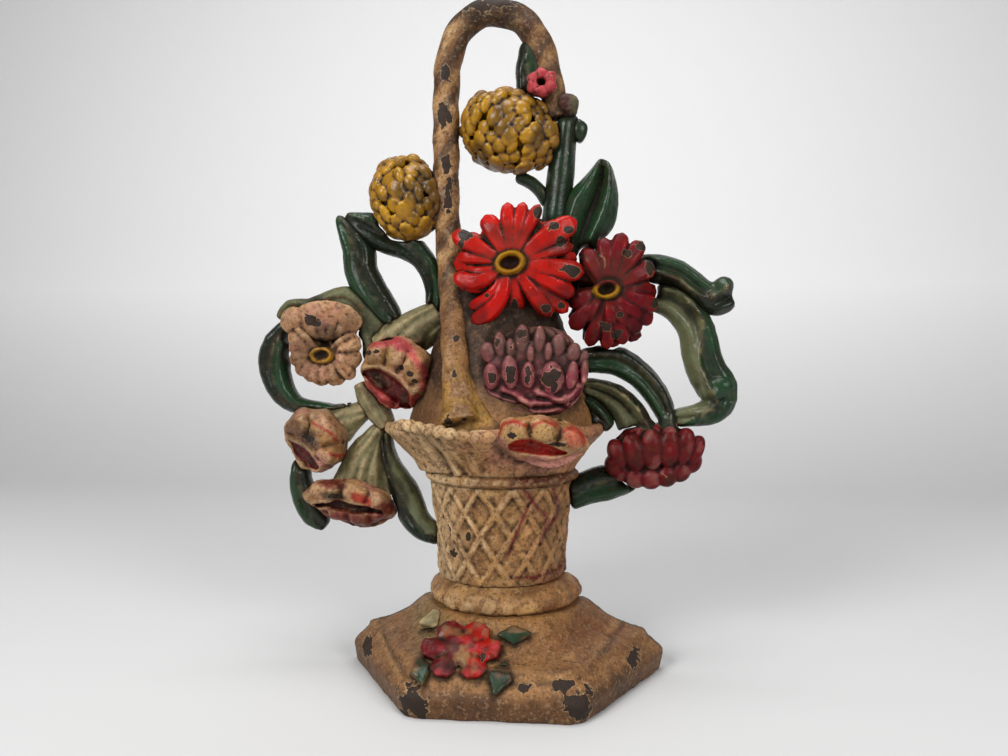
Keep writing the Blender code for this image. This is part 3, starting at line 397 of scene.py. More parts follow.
class Wire:
    """A socket of a node tree that takes part in arithmetic."""

    def __init__(self, nodes: "Nodes", socket: bpy.types.NodeSocket) -> None:
        """Hold a socket of a tree."""
        self.nodes, self.socket = nodes, socket

    def __add__(self, other: "Wire | float") -> "Wire":
        """Sum with another value."""
        return self.nodes.math("ADD", self, other)

    def __sub__(self, other: "Wire | float") -> "Wire":
        """What is left when another value is taken away."""
        return self.nodes.math("SUBTRACT", self, other)

    def __rsub__(self, other: float) -> "Wire":
        """What is left of a number when this value is taken away."""
        return self.nodes.math("SUBTRACT", other, self)

    def __mul__(self, other: "Wire | float") -> "Wire":
        """Product with another value."""
        return self.nodes.math("MULTIPLY", self, other)

    def __truediv__(self, other: "Wire | float") -> "Wire":
        """Share of another value."""
        return self.nodes.math("DIVIDE", self, other)


class Nodes:
    """A node tree with short ways to add and join its nodes."""

    def __init__(self, group: bpy.types.NodeTree) -> None:
        """Take a tree over."""
        self.group = group

    def join(self, value: object, socket: bpy.types.NodeSocket) -> None:
        """Link a wire to a socket, or set the socket's own value.

        Args:
            value: A wire or a value.
            socket: The socket that takes it.
        """
        if isinstance(value, Wire):
            self.group.links.new(value.socket, socket)
        else:
            socket.default_value = value

    def wire(self, kind: str, values: Optional[dict] = None, output: int | str = 0,
             **settings: object) -> Wire:
        """Add a node.

        Args:
            kind: The node's type.
            values: Sockets by name or number, each with a wire to link or a value to set.
            output: The output that is wanted, by number or name.
            **settings: Properties of the node.

        Returns:
            That output.
        """
        node = self.group.nodes.new(kind)
        for key, value in settings.items():
            setattr(node, key, value)
        for key, value in (values or {}).items():
            self.join(value, node.inputs[key])
        return Wire(self, node.outputs[output])

    def dress(self, looks: dict[str, object]) -> None:
        """Give the tree's own shader its looks.

        Args:
            looks: A wire or value for each named input.
        """
        shader = self.group.nodes["Principled BSDF"]
        for name, value in looks.items():
            self.join(value, shader.inputs[name])

    def math(self, operation: str, first: Wire | float, second: Wire | float = 0.0) -> Wire:
        """Result of one arithmetic step."""
        return self.wire("ShaderNodeMath", {0: first, 1: second}, operation=operation)


class Tree(Nodes):
    """A Geometry Nodes tree with named inputs."""

    def __init__(self, name: str) -> None:
        """Start an empty tree.

        Args:
            name: The tree's name.
        """
        super().__init__(bpy.data.node_groups.new(name, "GeometryNodeTree"))
        self.group.interface.new_socket("Geometry", in_out="OUTPUT", socket_type="NodeSocketGeometry")
        self.source = self.group.nodes.new("NodeGroupInput")
        self.sockets: dict[str, str] = {}

    def size(self, name: str, kind: str = "Float") -> Wire:
        """Add a named input.

        Args:
            name: The input's name.
            kind: What it holds.

        Returns:
            Its wire inside the tree.
        """
        item = self.group.interface.new_socket(name, in_out="INPUT", socket_type="NodeSocket" + kind)
        self.sockets[name] = item.identifier
        return Wire(self, next(s for s in self.source.outputs if s.identifier == item.identifier))

    def sizes(self, *names: str) -> list[Wire]:
        """Add some named inputs that hold numbers."""
        return [self.size(name) for name in names]

    def vector(self, x: Wire | float, y: Wire | float, z: Wire | float) -> Wire:
        """Vector of three values."""
        return self.wire("ShaderNodeCombineXYZ", {0: x, 1: y, 2: z})

    def vectors(self, operation: str, first: Wire, second: Wire) -> Wire:
        """Result of one step on two vectors."""
        return self.wire("ShaderNodeVectorMath", {0: first, 1: second}, operation=operation)

    def stretched(self, vector: Wire, scale: Wire) -> Wire:
        """A vector made longer or shorter."""
        return self.wire("ShaderNodeVectorMath", {0: vector, "Scale": scale}, operation="SCALE")

    def chance(self, least: Point, most: Point, seed: Wire) -> Wire:
        """Random vector for each point."""
        return self.wire("FunctionNodeRandomValue", {"Min": least, "Max": most, "Seed": seed},
                         data_type="FLOAT_VECTOR")

    def finish(self, geometry: Wire) -> None:
        """End the tree with real geometry and its paint.

        Args:
            geometry: What the tree has made.
        """
        paint = self.size("Paint", "Material")
        real = self.wire("GeometryNodeRealizeInstances", {0: geometry})
        dressed = self.wire("GeometryNodeSetMaterial", {"Geometry": real, "Material": paint})
        self.join(dressed, self.group.nodes.new("NodeGroupOutput").inputs[0])

    def run(self, values: dict[str, object], mesh: Optional[bpy.types.Mesh] = None) -> Solid:
        """Make the tree's mesh with some input values.

        Args:
            values: Value of each named input.
            mesh: Mesh that the tree starts from, where it needs one.

        Returns:
            The result in the tree's own coordinates.
        """
        holder = add_object("holder", mesh or bpy.data.meshes.new("holder"))
        modifier = holder.modifiers.new("form", "NODES")
        modifier.node_group = self.group
        for name, value in values.items():
            modifier[self.sockets[name]] = value
        result = harden(holder)
        solid = Solid(corners(result), [tuple(face.vertices) for face in result.polygons])
        bpy.data.meshes.remove(result)
        return solid


def scale_tree() -> Tree:
    """Tree of petals like scales, set in a spiral over an oval head whose axis is upright.

    Returns:
        The tree.
    """
    tree = Tree("petal scales")
    count, seed = tree.size("Count", "Int"), tree.size("Seed", "Int")
    head = tree.vector(*tree.sizes("Half width", "Half depth", "Half height"))
    length, width, thick, stray = tree.sizes("Length", "Width", "Thickness", "Stray")
    index = tree.wire("GeometryNodeInputIndex")
    up = 1.0 - (index + 0.5) / count * 2.0
    ring = tree.math("SQRT", 1.0 - up * up)
    angle = index * (pi * (3 - sqrt(5)))
    unit = tree.vector(ring * tree.math("COSINE", angle), ring * tree.math("SINE", angle), up)
    nudge = tree.stretched(tree.chance((-1.0, -0.6, -1.0), (1.0, 0.9, 1.0), seed), stray)
    place = tree.vectors("ADD", tree.vectors("MULTIPLY", unit, head), nudge)
    points = tree.wire("GeometryNodePoints", {"Count": count, "Position": place})
    facing = tree.wire("FunctionNodeAlignRotationToVector", {"Vector": unit}, axis="Z")
    upright = tree.wire("FunctionNodeAlignRotationToVector", {"Rotation": facing, "Vector": (0.0, 0.0, 1.0)},
                        axis="Y", pivot_axis="Z")
    grown = tree.chance((0.7, 0.7, 0.7), (1.2, 1.35, 1.4), seed)
    size = tree.vectors("MULTIPLY", tree.vector(width, length, thick), grown)
    scale = tree.wire("GeometryNodeMeshUVSphere", {"Segments": 10, "Rings": 7, "Radius": 0.5})
    laid = {"Points": points, "Instance": scale, "Rotation": upright, "Scale": size}
    tree.finish(tree.wire("GeometryNodeInstanceOnPoints", laid))
    return tree


def rope_tree() -> Tree:
    """Tree of a twisted rope along a line of places that carry their own half width.

    Returns:
        The tree.
    """
    tree = Tree("rope")
    line = tree.size("Line", "Geometry")
    strands, pitch, rise = tree.sizes("Strands", "Pitch", "Strand rise")
    sides = 48
    curve = tree.wire("GeometryNodeMeshToCurve", {0: line})
    half = tree.wire("GeometryNodeInputNamedAttribute", {"Name": "half"}, data_type="FLOAT")
    turns = tree.wire("GeometryNodeSplineParameter", output="Length") * (2 * pi) / pitch
    twisted = tree.wire("GeometryNodeSetCurveTilt", {"Curve": curve, "Tilt": turns})
    ring = tree.wire("GeometryNodeCurvePrimitiveCircle", {"Resolution": sides, "Radius": 1.0}, mode="RADIUS")
    wave = tree.math("COSINE", tree.wire("GeometryNodeInputIndex") * (2 * pi / sides) * strands)
    place = tree.stretched(tree.wire("GeometryNodeInputPosition"), wave * rise + 1.0)
    lobed = tree.wire("GeometryNodeSetPosition", {"Geometry": ring, "Position": place})
    swept = {"Curve": twisted, "Profile Curve": lobed, "Scale": half, "Fill Caps": True}
    tree.finish(tree.wire("GeometryNodeCurveToMesh", swept))
    return tree


def lath_tree() -> Tree:
    """Tree of laths that climb round a basket in one direction, side by side.

    Returns:
        The tree.
    """
    tree = Tree("laths")
    count = tree.size("Count", "Int")
    low, high, tall = tree.sizes("Low radius", "High radius", "Height")
    sweep, spacing, first, width = tree.sizes("Sweep", "Spacing", "First angle", "Width")
    stations = 24
    line = tree.wire("GeometryNodeMeshLine", {"Count": stations, "Offset": (0.0, 0.0, 1.0)})
    index = tree.wire("GeometryNodeInputIndex")
    share = index / float(stations - 1)
    radius = low + share * share * (high - low)
    angle = share * sweep
    place = tree.vector(radius * tree.math("COSINE", angle), radius * tree.math("SINE", angle), share * tall)
    wound = tree.wire("GeometryNodeSetPosition", {"Geometry": line, "Position": place})
    curve = tree.wire("GeometryNodeMeshToCurve", {0: wound})
    start = tree.vector(0.0, 0.0, first + index * spacing)
    spots = tree.wire("GeometryNodePoints", {"Count": count})
    laid = {"Points": spots, "Instance": curve, "Rotation": start}
    real = tree.wire("GeometryNodeRealizeInstances", {0: tree.wire("GeometryNodeInstanceOnPoints", laid)})
    ring = {"Resolution": 10, "Radius": width}
    profile = tree.wire("GeometryNodeCurvePrimitiveCircle", ring, mode="RADIUS")
    swept = {"Curve": real, "Profile Curve": profile, "Fill Caps": True}
    tree.finish(tree.wire("GeometryNodeCurveToMesh", swept))
    return tree


class Skin:
    """Fused skin of one carved form, fine enough to carry its relief and its paint."""

    def __init__(self, solids: Sequence[Solid], voxel: float) -> None:
        """Fuse closed bodies to one skin.

        Args:
            solids: Bodies that overlap.
            voxel: Size of the skin's cells in millimetres.
        """
        points = np.concatenate([solid.points for solid in solids])
        faces: Faces = []
        start = 0
        for solid in solids:
            faces += [tuple(start + i for i in face) for face in solid.faces]
            start += len(solid.points)
        raw = bpy.data.meshes.new("raw")
        raw.from_pydata(self.to_frame(points).tolist(), [], faces)
        holder = add_object("raw", raw)
        fuse = holder.modifiers.new("fuse", "REMESH")
        fuse.mode = "VOXEL"
        fuse.voxel_size = voxel * MM
        self.mesh = harden(holder)
        bpy.data.meshes.remove(raw)
        self.voxel = voxel
        self.points = self.to_casting(corners(self.mesh))
        count = len(self.points)
        ends = np.empty(len(self.mesh.edges) * 2, dtype=np.int64)
        self.mesh.edges.foreach_get("vertices", ends)
        self.first, self.second = ends.reshape(-1, 2).T
        degree = np.bincount(self.first, minlength=count) + np.bincount(self.second, minlength=count)
        self.degree = np.maximum(degree, 1)

    @property
    def x(self) -> np.ndarray:
        """How far each place lies across."""
        return self.points[:, 0]

    @property
    def y(self) -> np.ndarray:
        """How far each place lies out from the flat back."""
        return self.points[:, 1]

    @property
    def z(self) -> np.ndarray:
        """Height of each place."""
        return self.points[:, 2]

    @staticmethod
    def to_frame(points: np.ndarray) -> np.ndarray:
        """Casting millimetres to frame metres."""
        return np.column_stack((points[:, 0] + FRAME_X, FRAME_BACK - points[:, 1], points[:, 2])) * MM

    @staticmethod
    def to_casting(points: np.ndarray) -> np.ndarray:
        """Frame metres to casting millimetres."""
        across, out = points[:, 0] / MM - FRAME_X, FRAME_BACK - points[:, 1] / MM
        return np.column_stack((across, out, points[:, 2] / MM))

    def around(self, values: np.ndarray) -> np.ndarray:
        """Mean of each place's neighbours.

        Args:
            values: A value or a row for each place.

        Returns:
            The means.
        """
        count = len(values)
        columns = values.reshape(count, -1)
        total = np.empty_like(columns)
        for k in range(columns.shape[1]):
            total[:, k] = np.bincount(self.first, columns[self.second, k], count)
            total[:, k] += np.bincount(self.second, columns[self.first, k], count)
        return (total / self.degree[:, None]).reshape(values.shape)

    def relax(self, times: int) -> np.ndarray:
        """Smooth the places, without moving the skin.

        Args:
            times: Rounds of smoothing.

        Returns:
            The smooth places.
        """
        points = self.points.copy()
        for _ in range(times):
            points = points * (1 - EASE) + self.around(points) * EASE
        return points

    def soften(self, times: int) -> "Skin":
        """Round the skin's edges and keep its bulk.

        Args:
            times: Rounds of smoothing.

        Returns:
            The skin.
        """
        for _ in range(times):
            self.points = self.points * (1 - EASE) + self.around(self.points) * EASE
            self.points = self.points * (1 + UNDO) - self.around(self.points) * UNDO
        return self

    def store(self) -> None:
        """Put the places into the mesh, inside the casting's own box."""
        places = np.clip(self.to_frame(self.points), np.array(CAD_LOW), np.array(CAD_HIGH))
        self.mesh.vertices.foreach_set("co", places.ravel())
        self.mesh.update()

    def normals(self) -> np.ndarray:
        """Outward directions in the casting's coordinates.

        Returns:
            One direction for each place.
        """
        self.store()
        found = np.empty(len(self.points) * 3)
        self.mesh.vertex_normals.foreach_get("vector", found)
        return found.reshape(-1, 3) * np.array([1, -1, 1])

    def roughen(self, seed: int, amount: float = 1.0) -> "Skin":
        """Give the skin the uneven surface of a sand casting under thick paint.

        Args:
            seed: Picks one pattern.
            amount: How rough, where 1 is the plainest casting.

        Returns:
            The skin.
        """
        push = 0.15 * self.grain(5.0, seed) + 0.09 * self.grain(2.2, seed + 1)
        push += 0.04 * self.grain(1.1, seed + 2)
        return self.swell((push * amount)[:, None])

    def swell(self, amount: float | np.ndarray) -> "Skin":
        """Move the skin outwards and give it."""
        self.points = self.points + self.normals() * amount
        return self

    def grain(self, size: float, seed: int) -> np.ndarray:
        """Smooth random value at each place, from -1 to 1."""
        return grain(self.points, size, seed)

    def along(self, line: Line) -> tuple[np.ndarray, np.ndarray, np.ndarray]:
        """Where each place lies beside a line, seen from the front.

        Args:
            line: Places on the line, across and in height.

        Returns:
            The distance, the share of the line, and the distance with the line's left side positive.
        """
        spots = np.array(smooth_run(line, 5))
        flat = self.points[:, [0, 2]]
        best = np.full(len(flat), 1e9)
        share = np.zeros(len(flat))
        side = np.zeros(len(flat))
        for i in range(len(spots) - 1):
            run = spots[i + 1] - spots[i]
            t = np.clip((flat - spots[i]) @ run / (run @ run), 0.0, 1.0)
            off = flat - spots[i] - t[:, None] * run
            far = np.hypot(off[:, 0], off[:, 1])
            closer = far < best
            best = np.where(closer, far, best)
            share = np.where(closer, (i + t) / (len(spots) - 1), share)
            side = np.where(closer, np.sign(run[0] * off[:, 1] - run[1] * off[:, 0]) * far, side)
        return best, share, side

    def near(self, line: Line, half: float | np.ndarray) -> np.ndarray:
        """Share by which each place lies near a line, which fades over a half width."""
        return np.exp(-(self.along(line)[0] / half) ** 2)

    def facing(self) -> np.ndarray:
        """Share by which each place faces the front."""
        return step(self.normals()[:, 1], 0.0, 0.45)

    def ridge(self, line: Line, half: float, rise: float) -> None:
        """Raise a ridge on the front along a line, or sink a groove where the rise is below 0."""
        self.points[:, 1] += rise * self.near(line, half) * self.facing()

    def mouth(self, line: Line, halves: Sequence[float], depth: float) -> np.ndarray:
        """Sink a mouth into the front.

        Args:
            line: Middle of the mouth from end to end.
            halves: Its half height along that line.
            depth: How deep it is.

        Returns:
            Share by which each place lies in the mouth.
        """
        far, share, _ = self.along(line)
        half = np.interp(share, np.linspace(0, 1, len(halves)), halves)
        inside = (1 - step(far / half, 0.5, 1.2)) * self.facing()
        self.points[:, 1] -= depth * inside
        return inside

    def lobes(self, bumps: Sequence[Row]) -> None:
        """Raise round bumps on the front.

        Args:
            bumps: Middle, half width, half height, turn and rise of each.
        """
        lift = np.zeros(len(self.points))
        for x, z, wide, high, roll, rise in bumps:
            far = oval_share(self.points, x, z, wide, high, roll)
            lift = np.maximum(lift, rise * np.clip(1 - far ** 2.2, 0.0, 1.0) ** 0.7)
        self.points[:, 1] += lift * self.facing()

    def curve(self, reach: float) -> np.ndarray:
        """How far each place lies under its surroundings, above 0 in hollows."""
        times = max(4, int((reach / self.voxel) ** 2))
        return np.einsum("ij,ij->i", self.relax(times) - self.points, self.normals())

    def hollows(self, reach: float, full: float) -> np.ndarray:
        """Share by which each place lies in a hollow, 1 where that is so deep."""
        return np.clip(self.curve(reach) / full, 0.0, 1.0)

    def crests(self, reach: float, full: float) -> np.ndarray:
        """Share by which each place stands on a crest, 1 where that is so high."""
        return np.clip(-self.curve(reach) / full, 0.0, 1.0)


@dataclass(frozen=True)
class Paintwork:
    """Old paint on cast iron: coat, pale primer at the edge of each chip, bare metal, and grime with painted
    shade in the hollows and along the seams.

    Attributes:
        name: Name of the material.
        slot: The record's material slot; not used.
        primer: Colour that shows round a chip.
        gloss: Roughness of the sound coat.
        sound: Level over which the coat has chipped off.
        chip_size: Size of the chips in millimetres.
        dirt_and_shade: Share of grime and painted shade in the hollows and along the seams.
        speck: Share of fine dark specks.
        rim: How clearly the primer shows round a chip.
        mottle: Share of small brown stains.
        bloom: Share of small pale specks.
        sheen: How much the coat mirrors.
    """

    name: str
    slot: str
    primer: Hue = Hue.PRIMER
    gloss: float = 0.42
    sound: float = 0.70
    chip_size: float = 7.0
    dirt_and_shade: float = 0.85
    speck: float = 0.5
    rim: float = 0.45
    mottle: float = 0.35
    bloom: float = 0.0
    sheen: float = 0.2

    def material(self) -> bpy.types.Material:
        """Build the material's nodes.

        Returns:
            The material.
        """
        known = bpy.data.materials.get(self.name)
        if known:
            return known
        material = bpy.data.materials.new(self.name)
        material.use_nodes = True
        nodes = Nodes(material.node_tree)
        place = nodes.wire("ShaderNodeTexCoord", output="Object")

        def read(name: str, output: str = "Fac") -> Wire:
            """Value that the mesh carries."""
            return nodes.wire("ShaderNodeAttribute", None, output, attribute_name=name)

        def noise(size: float, detail: float, offset: float, wild: float = 0.0) -> Wire:
            """Add a noise.

            Args:
                size: Size of its features in millimetres.
                detail: Finer layers.
                offset: Picks one pattern.
                wild: Distortion.

            Returns:
                Its level.
            """
            spot = nodes.wire("ShaderNodeMapping", {"Vector": place, "Location": (offset, offset, offset)})
            values = {"Vector": spot, "Scale": 1.0 / (size * MM), "Detail": detail, "Distortion": wild}
            return nodes.wire("ShaderNodeTexNoise", values, "Fac")

        def ramp(value: Wire, low: float, high: float) -> Wire:
            """Smooth step between two levels."""
            values = {"Value": value, "From Min": low, "From Max": high}
            return nodes.wire("ShaderNodeMapRange", values, interpolation_type="SMOOTHSTEP")

        def mix(share: Wire, *colours: Wire | Hue) -> Wire:
            """Blend of two colours."""
            first, second = (c if isinstance(c, Wire) else (*c.value, 1.0) for c in colours)
            return nodes.wire("ShaderNodeMix", {0: share, 6: first, 7: second}, 2, data_type="RGBA")

        crest, hollow, seam, chip = (read(name) for name in ("crest", "hollow", "seam", "chip"))
        coat = mix(ramp(noise(9.0, 4.0, 0.3), 0.3, 0.7) * 0.3, read("coat", "Color"), Hue.SOOT_AND_SHADE)
        coat = mix(ramp(noise(2.4, 6.0, 7.7, 0.6), 0.52, 0.66) * self.mottle, coat, Hue.BROWN)
        coat = mix(ramp(noise(1.3, 6.0, 8.9, 0.3), 0.53, 0.64) * self.bloom, coat, self.primer)
        coat = mix(ramp(noise(0.9, 3.0, 0.7, 0.4), 0.55, 0.64) * (self.speck * 0.6), coat, Hue.SOOT_AND_SHADE)
        # Grime and painted shade: darker in the hollows and along the seams between forms.
        grime_and_shade = ramp(hollow * 1.2 + seam * 0.8 + noise(3.0, 3.0, 1.1) * 0.5, 0.25, 1.1) * self.dirt_and_shade
        coat = mix(grime_and_shade, coat, Hue.GRIME_AND_SHADE)
        rubbed = ramp(crest + noise(2.0, 4.0, 1.9), 1.05, 1.5) * (0.04 + 0.16 * self.mottle)
        coat = mix(rubbed, coat, self.primer)

        level = noise(self.chip_size, 5.0, 2.3, 0.8) + crest * 0.07 + chip * 0.42 - hollow * 0.12
        bare = ramp(level, self.sound, self.sound + 0.015)
        coat = mix(ramp(level, self.sound - 0.03, self.sound - 0.012) * self.rim, coat, self.primer)
        metal = mix(ramp(noise(1.6, 4.0, 3.1), 0.4, 0.65), Hue.IRON, Hue.IRON_BROWN)
        coat = mix(bare, coat, metal)
        rough = grime_and_shade * 0.35 + self.gloss + noise(1.2, 3.0, 4.1) * 0.18 + bare * 0.12
        relief = noise(0.7, 4.0, 5.3) * 0.35 + noise(2.2, 3.0, 6.1) * 0.5 - bare * 0.6
        relief = relief + noise(1.3, 5.0, 9.4) * self.mottle
        bump = nodes.wire("ShaderNodeBump", {"Height": relief, "Distance": 0.0003, "Strength": 0.8})
        nodes.dress({"Base Color": coat, "Specular IOR Level": self.sheen, "Roughness": rough,
                     "Normal": bump})
        return material


class Finish(Enum):
    """The paints on the casting."""

    CREAM = Paintwork("old cream paint", "cream_paint", Hue.BONE, gloss=0.42, sound=0.76, chip_size=4.0,
                      speck=0.9, rim=0.28, mottle=0.75, bloom=0.15)
    UMBER = Paintwork("umber paint", "umber_paint", gloss=0.5, sound=0.78, speck=0.8, mottle=0.6, bloom=0.12)
    GREEN = Paintwork("green enamel", "green_paint", gloss=0.2, sound=0.75, chip_size=3.0, dirt_and_shade=0.7,
                      speck=0.2, rim=0.8, mottle=0.12, sheen=0.28)
    SAGE = Paintwork("sage paint", "sage_paint", gloss=0.36, sound=0.78, chip_size=4.0, dirt_and_shade=0.8, mottle=0.5,
                     bloom=0.12)
    OCHRE = Paintwork("ochre enamel", "ochre_paint", Hue.GOLD, gloss=0.2, sound=0.78, dirt_and_shade=0.98, speck=0.3,
                      mottle=0.15, sheen=0.34)
    SCARLET = Paintwork("scarlet enamel", "scarlet_paint", gloss=0.2, sound=0.75, dirt_and_shade=0.92, speck=0.12,
                        rim=0.42, mottle=0.06, sheen=0.16)
    CRIMSON = Paintwork("crimson enamel", "crimson_paint", gloss=0.26, sound=0.745, dirt_and_shade=0.85, speck=0.25,
                        rim=0.35, mottle=0.12, sheen=0.12)
    PLUM = Paintwork("plum paint", "plum_paint", Hue.PINK_PRIMER, gloss=0.3, sound=0.73, chip_size=4.0,
                     dirt_and_shade=0.85, rim=0.7, mottle=0.3, sheen=0.16)
    PINK = Paintwork("pink washed paint", "pink_paint", gloss=0.34, sound=0.76, chip_size=4.0, speck=0.9,
                     mottle=0.4, bloom=0.12)
    TAN = Paintwork("tan paint", "tan_paint", gloss=0.4, sound=0.76, speck=0.7, mottle=0.6, bloom=0.16)


@dataclass
class Spot:
    """A place where the paint is chipped, as the front shows it.

    Attributes:
        x: Across.
        z: Height.
        wide: Half width.
        high: Half height.
    """

    x: float
    z: float
    wide: float
    high: float


class Coat:
    """Colours laid on a skin, layer by layer."""

    def __init__(self, skin: Skin, base: Hue) -> None:
        """Cover a skin with one colour.

        Args:
            skin: The skin.
            base: The first colour.
        """
        self.skin = skin
        self.points = skin.points
        self.colours = np.tile(np.array(base.value), (len(skin.points), 1))

    def wash(self, colour: Hue, share: np.ndarray) -> "Coat":
        """Lay a colour over the others.

        Args:
            colour: The colour.
            share: How strongly it covers each place.

        Returns:
            The coat.
        """
        share = np.clip(share, 0.0, 1.0)[:, None]
        self.colours = self.colours * (1 - share) + np.array(colour.value) * share
        return self

    def oval(self, x: float, z: float, wide: float, high: float, ragged: float = 0.25, soft: float = 0.25,
             roll: float = 0.0) -> np.ndarray:
        """Share that is 1 in an oval as the front shows it, with a ragged edge.

        Args:
            x: Middle across.
            z: Middle height.
            wide: Half width.
            high: Half height.
            ragged: How uneven the edge is.
            soft: How soft the edge is.
            roll: Turn, anticlockwise, in degrees.

        Returns:
            The share at each place.
        """
        far = oval_share(self.points, x, z, wide, high, roll)
        far += ragged * grain(self.points, max(1.2, min(wide, high) * 0.45), 11)
        return 1 - step(far, 1 - soft, 1 + soft)

    def patch(self, colour: Hue, share: float, *oval: float) -> None:
        """Lay a colour by a share on an oval, which is given as oval takes it."""
        self.wash(colour, self.oval(*oval) * share)

    def stain(self, colour: Hue, share: float, size: float, seed: int, low: float, high: float) -> None:
        """Lay a colour in clouds of a size, from where they begin to where they are full."""
        self.wash(colour, step(self.skin.grain(size, seed), low, high) * share)


def chipped(points: np.ndarray, spots: Sequence[Spot]) -> np.ndarray:
    """How strongly the named chips pull the paint off.

    Args:
        points: Places on the skin.
        spots: The chips.

    Returns:
        The pull at each place.
    """
    pull = np.zeros(len(points))
    for spot in spots:
        far = oval_share(points, spot.x, spot.z, spot.wide, spot.high)
        pull = np.maximum(pull, np.clip(1.35 - far * 0.75, 0.0, 1.0) * (far < 1.8))
    return pull


class Casting:
    """Base of every sub-assembly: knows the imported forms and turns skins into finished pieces."""

    shells: Sequence[str] = ("foot", "pedestal_ring", "basket_body", "basket_band", "basket_rim", "mound")
    hollow_x: float = -1.5
    crest_size: Flat = (1.1, 0.22)
    hollow_sizes: Sequence[Flat] = ((1.2, 0.2), (3.2, 0.8))
    behind: Flat = (0.35, 0.75)
    hollow: Line = ((35.0, 22.6), (71.0, 25.4), (77.0, 26.0), (92.4, 36.0), (92.6, 34.0), (158.0, 12.6))

    solids: dict[str, Solid] = {}
    trees: dict[str, BVHTree] = {}
    boxes: dict[str, tuple[np.ndarray, np.ndarray]] = {}

    @classmethod
    def open(cls) -> None:
        """Read every packed form and make the trees, once."""
        cls.scales, cls.rope, cls.laths = scale_tree(), rope_tree(), lath_tree()
        for name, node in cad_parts.items():
            points = corners(node.data)
            faces = [tuple(face.vertices) for face in node.data.polygons]
            cls.trees[name] = BVHTree.FromPolygons([tuple(p) for p in points], faces)
            cls.boxes[name] = (points.min(axis=0), points.max(axis=0))
            key = np.round(points / GRID).astype(np.int64)
            unique, inverse = np.unique(key, axis=0, return_inverse=True)
            inverse = inverse.ravel()
            merged = [tuple(int(inverse[i]) for i in face) for face in faces]
            merged = [face for face in merged if len(set(face)) == len(face)]
            cls.solids[name] = Solid(Skin.to_casting(unique * GRID), merged)

    def core(self, node: str, share: float = 1.0, shallow: float = 1.0) -> Solid:
        """Copy of a packed form, drawn in towards its own middle and its back.

        Args:
            node: The form's name.
            share: Share of its width and height.
            shallow: Share of its depth.

        Returns:
            The copy.
        """
        solid = self.solids[node]
        low, high = solid.points.min(axis=0), solid.points.max(axis=0)
        anchor = np.array([(low[0] + high[0]) / 2, low[1], (low[2] + high[2]) / 2])
        points = anchor + (solid.points - anchor) * np.array([share, shallow, share])
        return Solid(points, solid.faces)

    def front(self, node: str) -> float:
        """Depth of a packed form's foremost place."""
        return float(self.solids[node].points[:, 1].max())

    def seams(self, skin: Skin, node: str, reach: float = 2.2) -> np.ndarray:
        """How near a skin lies to the forms beside it.

        Args:
            skin: The skin.
            node: The form that it stands for.
            reach: Distance at which a form no longer counts.

        Returns:
            The nearness of each place, from 0 to 1.
        """
        places = Skin.to_frame(skin.points)
        near = np.zeros(len(places))
        low, high = places.min(axis=0) - reach * MM, places.max(axis=0) + reach * MM
        for other, (least, most) in self.boxes.items():
            if other == node or np.any(least > high) or np.any(most < low):
                continue
            inside = np.all((places > least - reach * MM) & (places < most + reach * MM), axis=1)
            tree = self.trees[other]
            for i in np.nonzero(inside)[0]:
                found = tree.find_nearest(Vector(places[i]), reach * MM)
                if found[3] is not None:
                    near[i] = max(near[i], 1 - found[3] / (reach * MM))
        return near

    def seat(self, skin: Skin) -> None:
        """Keep a skin out of the hollow behind the basket and the mound.

        Args:
            skin: The skin.
        """
        heights, radii = zip(*self.hollow)
        radius = np.interp(skin.points[:, 2], heights, radii, 0.0, 0.0)
        wall = np.sqrt(np.clip(radius ** 2 - (skin.points[:, 0] - self.hollow_x) ** 2, 0.0, None))
        skin.points[:, 1] = np.maximum(skin.points[:, 1], wall)

    def cast(
        self,
        node: str,
        finish: Finish,
        coat: Coat,
        spots: Sequence[Spot] = (),
        clean_and_unshaded: float | np.ndarray = 0.0,
    ) -> None:
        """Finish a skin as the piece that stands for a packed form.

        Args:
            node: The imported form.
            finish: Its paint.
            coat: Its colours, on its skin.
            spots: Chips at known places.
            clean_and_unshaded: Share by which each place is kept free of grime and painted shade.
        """
        skin = coat.skin
        if node not in self.shells:
            self.seat(skin)
        coat.wash(Hue.IRON, step(-skin.normals()[:, 1], *self.behind))
        values = {
            "crest": skin.crests(*self.crest_size),
            "hollow": np.maximum(*(skin.hollows(*size) for size in self.hollow_sizes)) * (1 - clean_and_unshaded),
            "seam": self.seams(skin, node) * (1 - clean_and_unshaded),
            "chip": chipped(skin.points, spots),
        }
        skin.store()
        mesh = skin.mesh
        for name, share in values.items():
            mesh.attributes.new(name, "FLOAT", "POINT").data.foreach_set("value", share.astype(np.float32))
        colours = np.column_stack((coat.colours, np.ones(len(coat.colours))))
        carried = mesh.attributes.new("coat", "FLOAT_COLOR", "POINT").data
        carried.foreach_set("color", colours.ravel().astype(np.float32))
        mesh.polygons.foreach_set("use_smooth", np.ones(len(mesh.polygons), dtype=bool))
        mesh.materials.clear()
        mesh.materials.append(finish.value.material())
        piece = add_object(node + "_painted", mesh)
        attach(piece, "root")
        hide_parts(node)
        log.info("%s: %d faces", piece.name, len(mesh.polygons))


